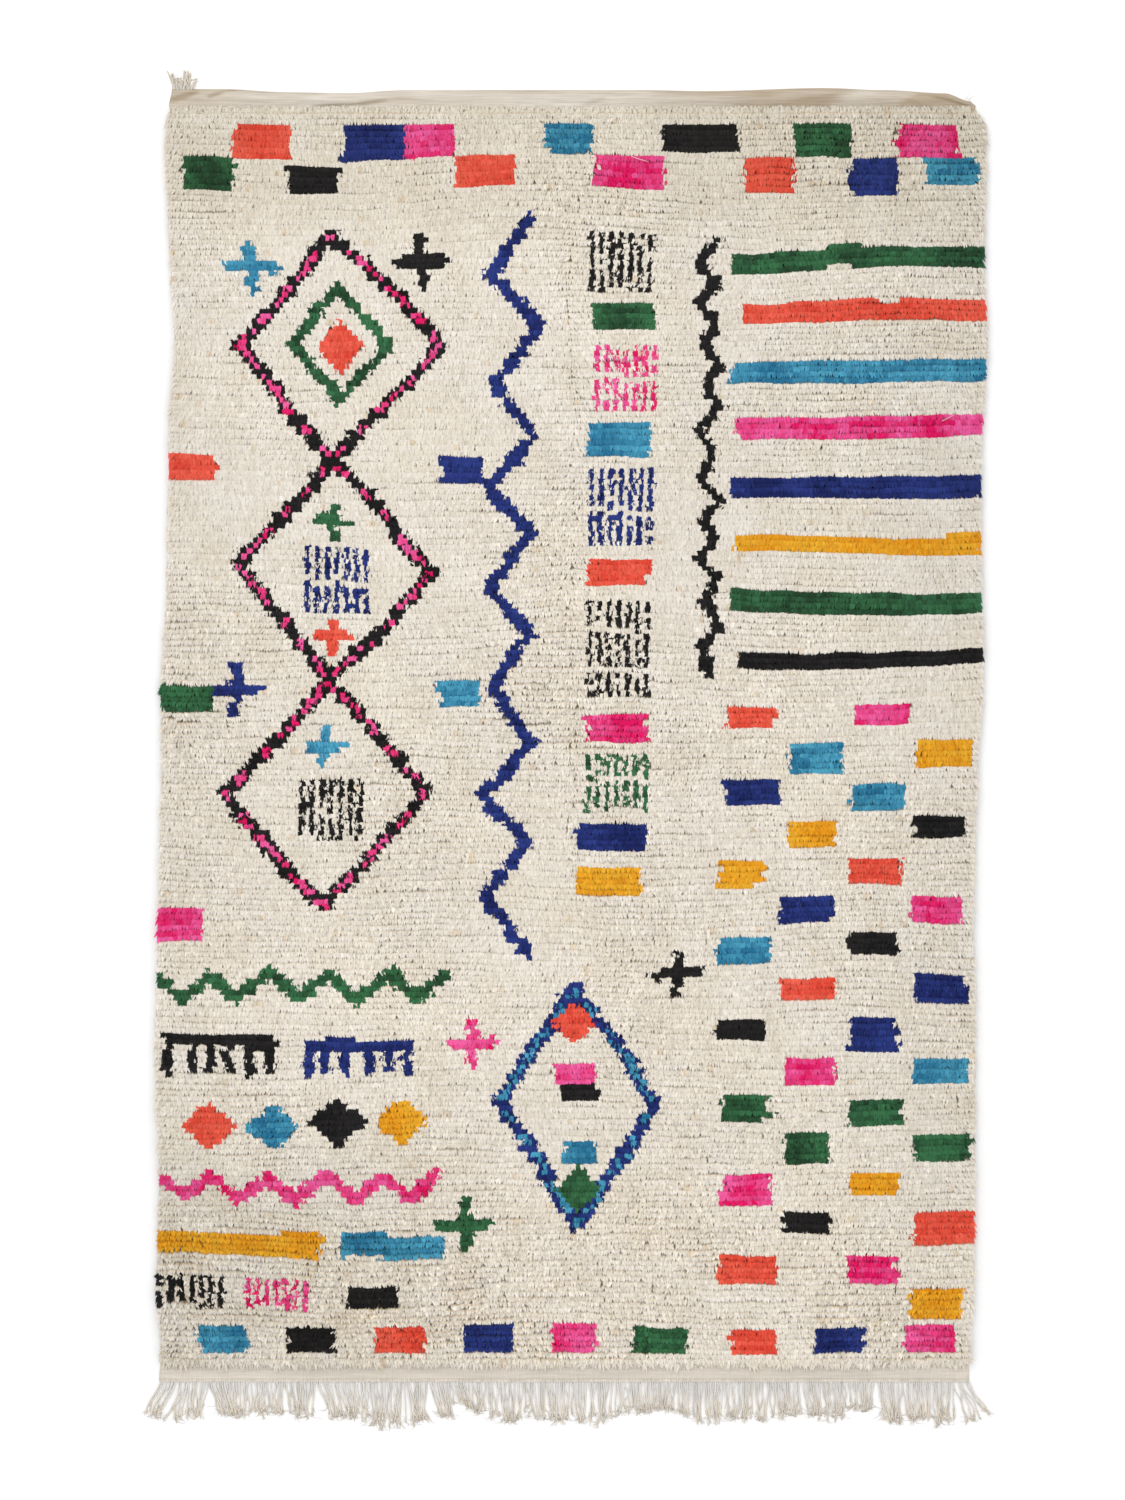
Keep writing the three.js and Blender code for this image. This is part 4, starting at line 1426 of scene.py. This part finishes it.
def bottom_fringe():
    chance = np.random.default_rng(FRINGE_SEED)
    left, right = (float(side) for side in sides(np.array(RUG_LENGTH), END_INSET))
    count = round((right - left) / CORD_PITCH)
    seats = (np.arange(count) + 0.5 + chance.uniform(-CORD_SHIFT, CORD_SHIFT, count)) / count
    root = left + (right - left) * seats
    clump = np.clip(np.searchsorted(CLUMPS["root"], root) - 1, 0, len(CLUMPS["root"]) - 1)
    starts = np.append(CLUMPS["root"], right)
    share = ramp(root, starts[clump], starts[clump + 1])

    def mix(first, last):
        return CLUMPS[first][clump] * (1 - share) + CLUMPS[last][clump] * share

    tip = mix("tip_from", "tip_to") + chance.normal(0, CORD_TIP_SHIFT, count)
    reach = mix("reach_from", "reach_to") * (1 + chance.normal(0, CORD_UNEVEN, count))
    layer = chance.choice(CORD_LAYERS, count)
    thick = chance.uniform(*CORD_THICK, count)
    roots, tips = (root, np.full(count, RUG_LENGTH - CORD_HELD)), (tip, RUG_LENGTH + reach)
    return lay_yarns("fringe_bottom", roots, tips, thick, layer, CORD_CURL, FRAYS, 1.0, chance)


def corner_tuft():
    chance = np.random.default_rng(TUFT_SEED)
    root, tip, reach = (np.repeat(TUFT[name], TUFT_YARNS) for name in ("root", "tip", "reach"))
    count = len(root)
    root = TUFT_LEFT + root + chance.normal(0, TUFT_ROOT_SHIFT, count)
    tip = TUFT_LEFT + tip + chance.normal(0, TUFT_TIP_SHIFT, count)
    edge = -between(PLAIN_EDGE, "across", "rise", root)
    reach = reach * chance.uniform(*TUFT_REACH, count)
    layer = chance.choice(TUFT_LAYERS, count)
    thick = chance.uniform(*TUFT_THICK, count)
    roots, tips = (root, edge + 2), (tip, edge - reach)
    return lay_yarns("corner_tuft", roots, tips, thick, layer, TUFT_CURL, TUFT_FRAYS, TUFT_TONE, chance)


def loose_threads():
    chance = np.random.default_rng(THREAD_SEED)
    start, start_d, end, end_d, height = THREADS.values()
    x, d = yarn_paths(start, start_d, end, end_d, THREAD_CURL, CORD_SECTIONS, chance)
    along = np.linspace(0, 1, CORD_SECTIONS)[None, :]
    radius = np.full_like(x, THREAD_RADIUS) * (1 - 0.5 * along)
    up = height[:, None] + THREAD_WAVE * np.sin(TURN * along + start[:, None])
    dye = yarn_dye(0 * along, len(start), chance)
    return tubes("loose_threads", x, d, up, radius, dye, CORD_SIDES)


def add_node(tree, kind, inputs, **settings):
    """The outputs of a new shader node, given its settings and its inputs: numbers or other outputs."""
    node = tree.nodes.new(f"ShaderNode{kind}")
    for name, value in settings.items():
        setattr(node, name, value)
    for name, value in inputs.items():
        if isinstance(value, bpy.types.NodeSocket):
            tree.links.new(value, node.inputs[name])
        else:
            node.inputs[name].default_value = value
    return node.outputs


def new_material(name, roughness, sheen):
    """A soft wool or cotton shader, its node tree and the attribute that holds its colours."""
    material = bpy.data.materials.new(name)
    material.use_nodes = True
    tree = material.node_tree
    shader = tree.nodes["Principled BSDF"]
    shader.inputs["Roughness"].default_value = roughness
    shader.inputs["Specular IOR Level"].default_value = 0.15
    shader.inputs["Sheen Weight"].default_value = sheen
    shader.inputs["Sheen Roughness"].default_value = 0.5
    return material, tree, shader, add_node(tree, "Attribute", {}, attribute_name="dye")


def noise(tree, scale, detail=2):
    """Noise stretched by a scale along each axis, in swells a metre."""
    place = add_node(tree, "TexCoord", {})["Object"]
    stretched = add_node(tree, "Mapping", {"Vector": place, "Scale": scale})["Vector"]
    return add_node(tree, "TexNoise", {"Vector": stretched, "Scale": 1, "Detail": detail})["Fac"]


def ribs(tree, direction, pitch, distortion):
    """Ribs of a pitch in metres, along one axis."""
    place = add_node(tree, "TexCoord", {})["Object"]
    inputs = {"Vector": place, "Scale": WAVE_SCALE / pitch, "Distortion": distortion}
    inputs.update({"Detail": 1, "Detail Scale": 2})
    return add_node(tree, "TexWave", inputs, bands_direction=direction)["Fac"]


def spread(tree, value, low, high, start=0.0, stop=1.0):
    """A value of start to stop spread from low to high."""
    inputs = {"Value": value, "From Min": start, "From Max": stop, "To Min": low, "To Max": high}
    return add_node(tree, "MapRange", inputs)["Result"]


def maths(tree, operation, first, second=0.0):
    return add_node(tree, "Math", {0: first, 1: second}, operation=operation)["Value"]


def toned(tree, colour, factor):
    return add_node(tree, "VectorMath", {0: colour, "Scale": factor}, operation="SCALE")["Vector"]


def uv_place(tree, name):
    """The outputs X and Y of a UV map."""
    return add_node(tree, "SeparateXYZ", {"Vector": add_node(tree, "UVMap", {}, uv_map=name)["UV"]})


def finish_shader(tree, shader, dye, tone, height, strength, distance):
    """Gives a shader its toned colour and its bumps."""
    tree.links.new(toned(tree, dye, tone), shader.inputs["Base Color"])
    inputs = {"Height": height, "Strength": strength, "Distance": distance}
    tree.links.new(add_node(tree, "Bump", inputs)["Normal"], shader.inputs["Normal"])


def run_tint(tree, run):
    """The tint of a wisp along its run, as in WISP_TINTS: painted shade at its root, with the root's own
    warmer wool.
    """
    ramp_node = tree.nodes.new("ShaderNodeValToRGB")
    stops = ramp_node.color_ramp.elements
    while len(stops) < len(WISP_TINTS):
        stops.new(0.5)
    for stop, (place, tint) in zip(stops, WISP_TINTS):
        stop.position = place
        stop.color = (*tint, 1)
    tree.links.new(run, ramp_node.inputs["Fac"])
    return ramp_node.outputs["Color"]


def pile_material():
    """Wool: fibres, strands side by side on a wisp, tan roots that are partly painted shade, and patches
    where that tint is weaker.
    """
    material, tree, shader, dye = new_material("pile_wool", 0.95, 0.2)
    fibres = noise(tree, (1300, 260, 700))
    turns = maths(tree, "ADD", maths(tree, "MULTIPLY", uv_place(tree, "strands")["X"], WISP_STRANDS), fibres)
    strands = spread(tree, maths(tree, "SINE", maths(tree, "MULTIPLY", turns, TURN)), 0.0, 1.0, -1.0, 1.0)
    untinted = spread(tree, noise(tree, (9, 14, 9), 3), 0.0, 0.7, 0.35, 0.65)
    tint = toned(tree, run_tint(tree, dye["Alpha"]), maths(tree, "SUBTRACT", 1.0, untinted))
    lifted = add_node(tree, "VectorMath", {0: tint, 1: untinted}, operation="ADD")["Vector"]
    colour = add_node(tree, "VectorMath", {0: dye["Color"], 1: lifted}, operation="MULTIPLY")["Vector"]
    streaks = spread(tree, fibres, 0.91, 1.07, 0.3, 0.7)
    tone = maths(tree, "MULTIPLY", streaks, spread(tree, strands, 0.94, 1.03))
    height = maths(tree, "ADD", fibres, maths(tree, "MULTIPLY", strands, 0.6))
    finish_shader(tree, shader, colour, tone, height, 0.5, 0.001)
    return material


def weave_material():
    """Plain weave: fine wefts across, warps down, and streaks of uneven yarn, upright at the fringe."""
    material, tree, shader, dye = new_material("flat_weave", 0.95, 0.1)
    wefts = ribs(tree, "Y", WEFT_PITCH, 1.5)
    warps = ribs(tree, "X", WARP_PITCH, 1.0)
    cloth = maths(tree, "MULTIPLY", spread(tree, wefts, 0.35, 1.0), spread(tree, warps, 0.6, 1.0))
    across = noise(tree, (16, 420, 60), 3)
    upright = noise(tree, (330, 24, 60), 3)
    across = maths(tree, "MULTIPLY", across, maths(tree, "SUBTRACT", 1.0, dye["Alpha"]))
    streaks = maths(tree, "ADD", across, maths(tree, "MULTIPLY", upright, dye["Alpha"]))
    tone = spread(tree, streaks, 0.84, 1.12, 0.3, 0.7)
    tone = maths(tree, "MULTIPLY", tone, spread(tree, cloth, 0.86, 1.04))
    finish_shader(tree, shader, dye["Color"], tone, maths(tree, "ADD", cloth, streaks), 0.6, 0.0006)
    return material


def yarn_material():
    """Two-ply twisted yarn: the plies show as slanting ribs round it."""
    material, tree, shader, dye = new_material("warp_yarn", 0.9, 0.15)
    place = uv_place(tree, "twist")
    turns = maths(tree, "ADD", place["X"], place["Y"])
    plies = maths(tree, "SINE", maths(tree, "MULTIPLY", turns, 2 * TURN))
    plies = maths(tree, "ADD", maths(tree, "MULTIPLY", plies, 0.5), 0.5)
    fibres = noise(tree, (900, 500, 900))
    tone = maths(tree, "MULTIPLY", spread(tree, plies, 0.84, 1.04), spread(tree, fibres, 0.88, 1.10))
    finish_shader(tree, shader, dye["Color"], tone, maths(tree, "ADD", plies, fibres), 0.6, 0.0005)
    return material


def camera():
    data = bpy.data.cameras.new("camera")
    data.sensor_width = SENSOR
    data.lens = SENSOR * (CAMERA_HEIGHT - PILE_TOP) / FRAME_LENGTH
    data.clip_end = 100
    obj = add_object("camera", data)
    obj.location = (*FRAME_CENTRE, CAMERA_HEIGHT)
    bpy.context.scene.camera = obj


def lights():
    scene = bpy.context.scene
    scene.view_settings.view_transform = "Standard"
    world = bpy.data.worlds.new("studio")
    world.use_nodes = True
    background = world.node_tree.nodes["Background"]
    background.inputs["Color"].default_value = (1, 1, 1, 1)
    background.inputs["Strength"].default_value = 1.0
    scene.world = world
    data = bpy.data.lights.new("soft_key", "AREA")
    data.shape = "RECTANGLE"
    data.size, data.size_y = KEY_SIZE
    data.energy = KEY_WATTS
    key = add_object("soft_key", data)
    key.location = KEY_PLACE
    key.rotation_euler = (Vector((0, 0, 0)) - key.location).to_track_quat("-Z", "Y").to_euler()


def studio_floor():
    h = FLOOR_HALF
    mesh = bpy.data.meshes.new("floor")
    mesh.from_pydata([(-h, -h, 0), (h, -h, 0), (h, h, 0), (-h, h, 0)], [], [(0, 1, 2, 3)])
    floor = add_object("floor", mesh)
    material = bpy.data.materials.new("floor")
    material.use_nodes = True
    shader = material.node_tree.nodes["Principled BSDF"]
    shader.inputs["Base Color"].default_value = (0.98, 0.98, 0.98, 1)
    shader.inputs["Roughness"].default_value = 0.9
    mesh.materials.append(material)
    return floor


def dress(piece, material, node):
    piece.data.materials.append(material)
    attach(piece, "root")
    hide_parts(node)


camera()
lights()
floor = studio_floor()
chart = design()
across, down = knot_places()
dye = knot_dyes(chart, across, down)
wool, flat_weave, yarn = pile_material(), weave_material(), yarn_material()
pile_pieces = pile(chart, across, down, dye) + [pile_rim(dye)]
for piece in pile_pieces:
    dress(piece, wool, "rug")
ground = weave(dye)
dress(ground, flat_weave, "rug")
threads = loose_threads()
dress(threads, yarn, "rug")
strip = fringe_strip()
dress(strip, flat_weave, "fringe_bottom")
fringe = bottom_fringe()
for piece in fringe:
    dress(piece, yarn, "fringe_bottom")
tuft = corner_tuft()
for piece in tuft:
    dress(piece, yarn, "corner_tuft")
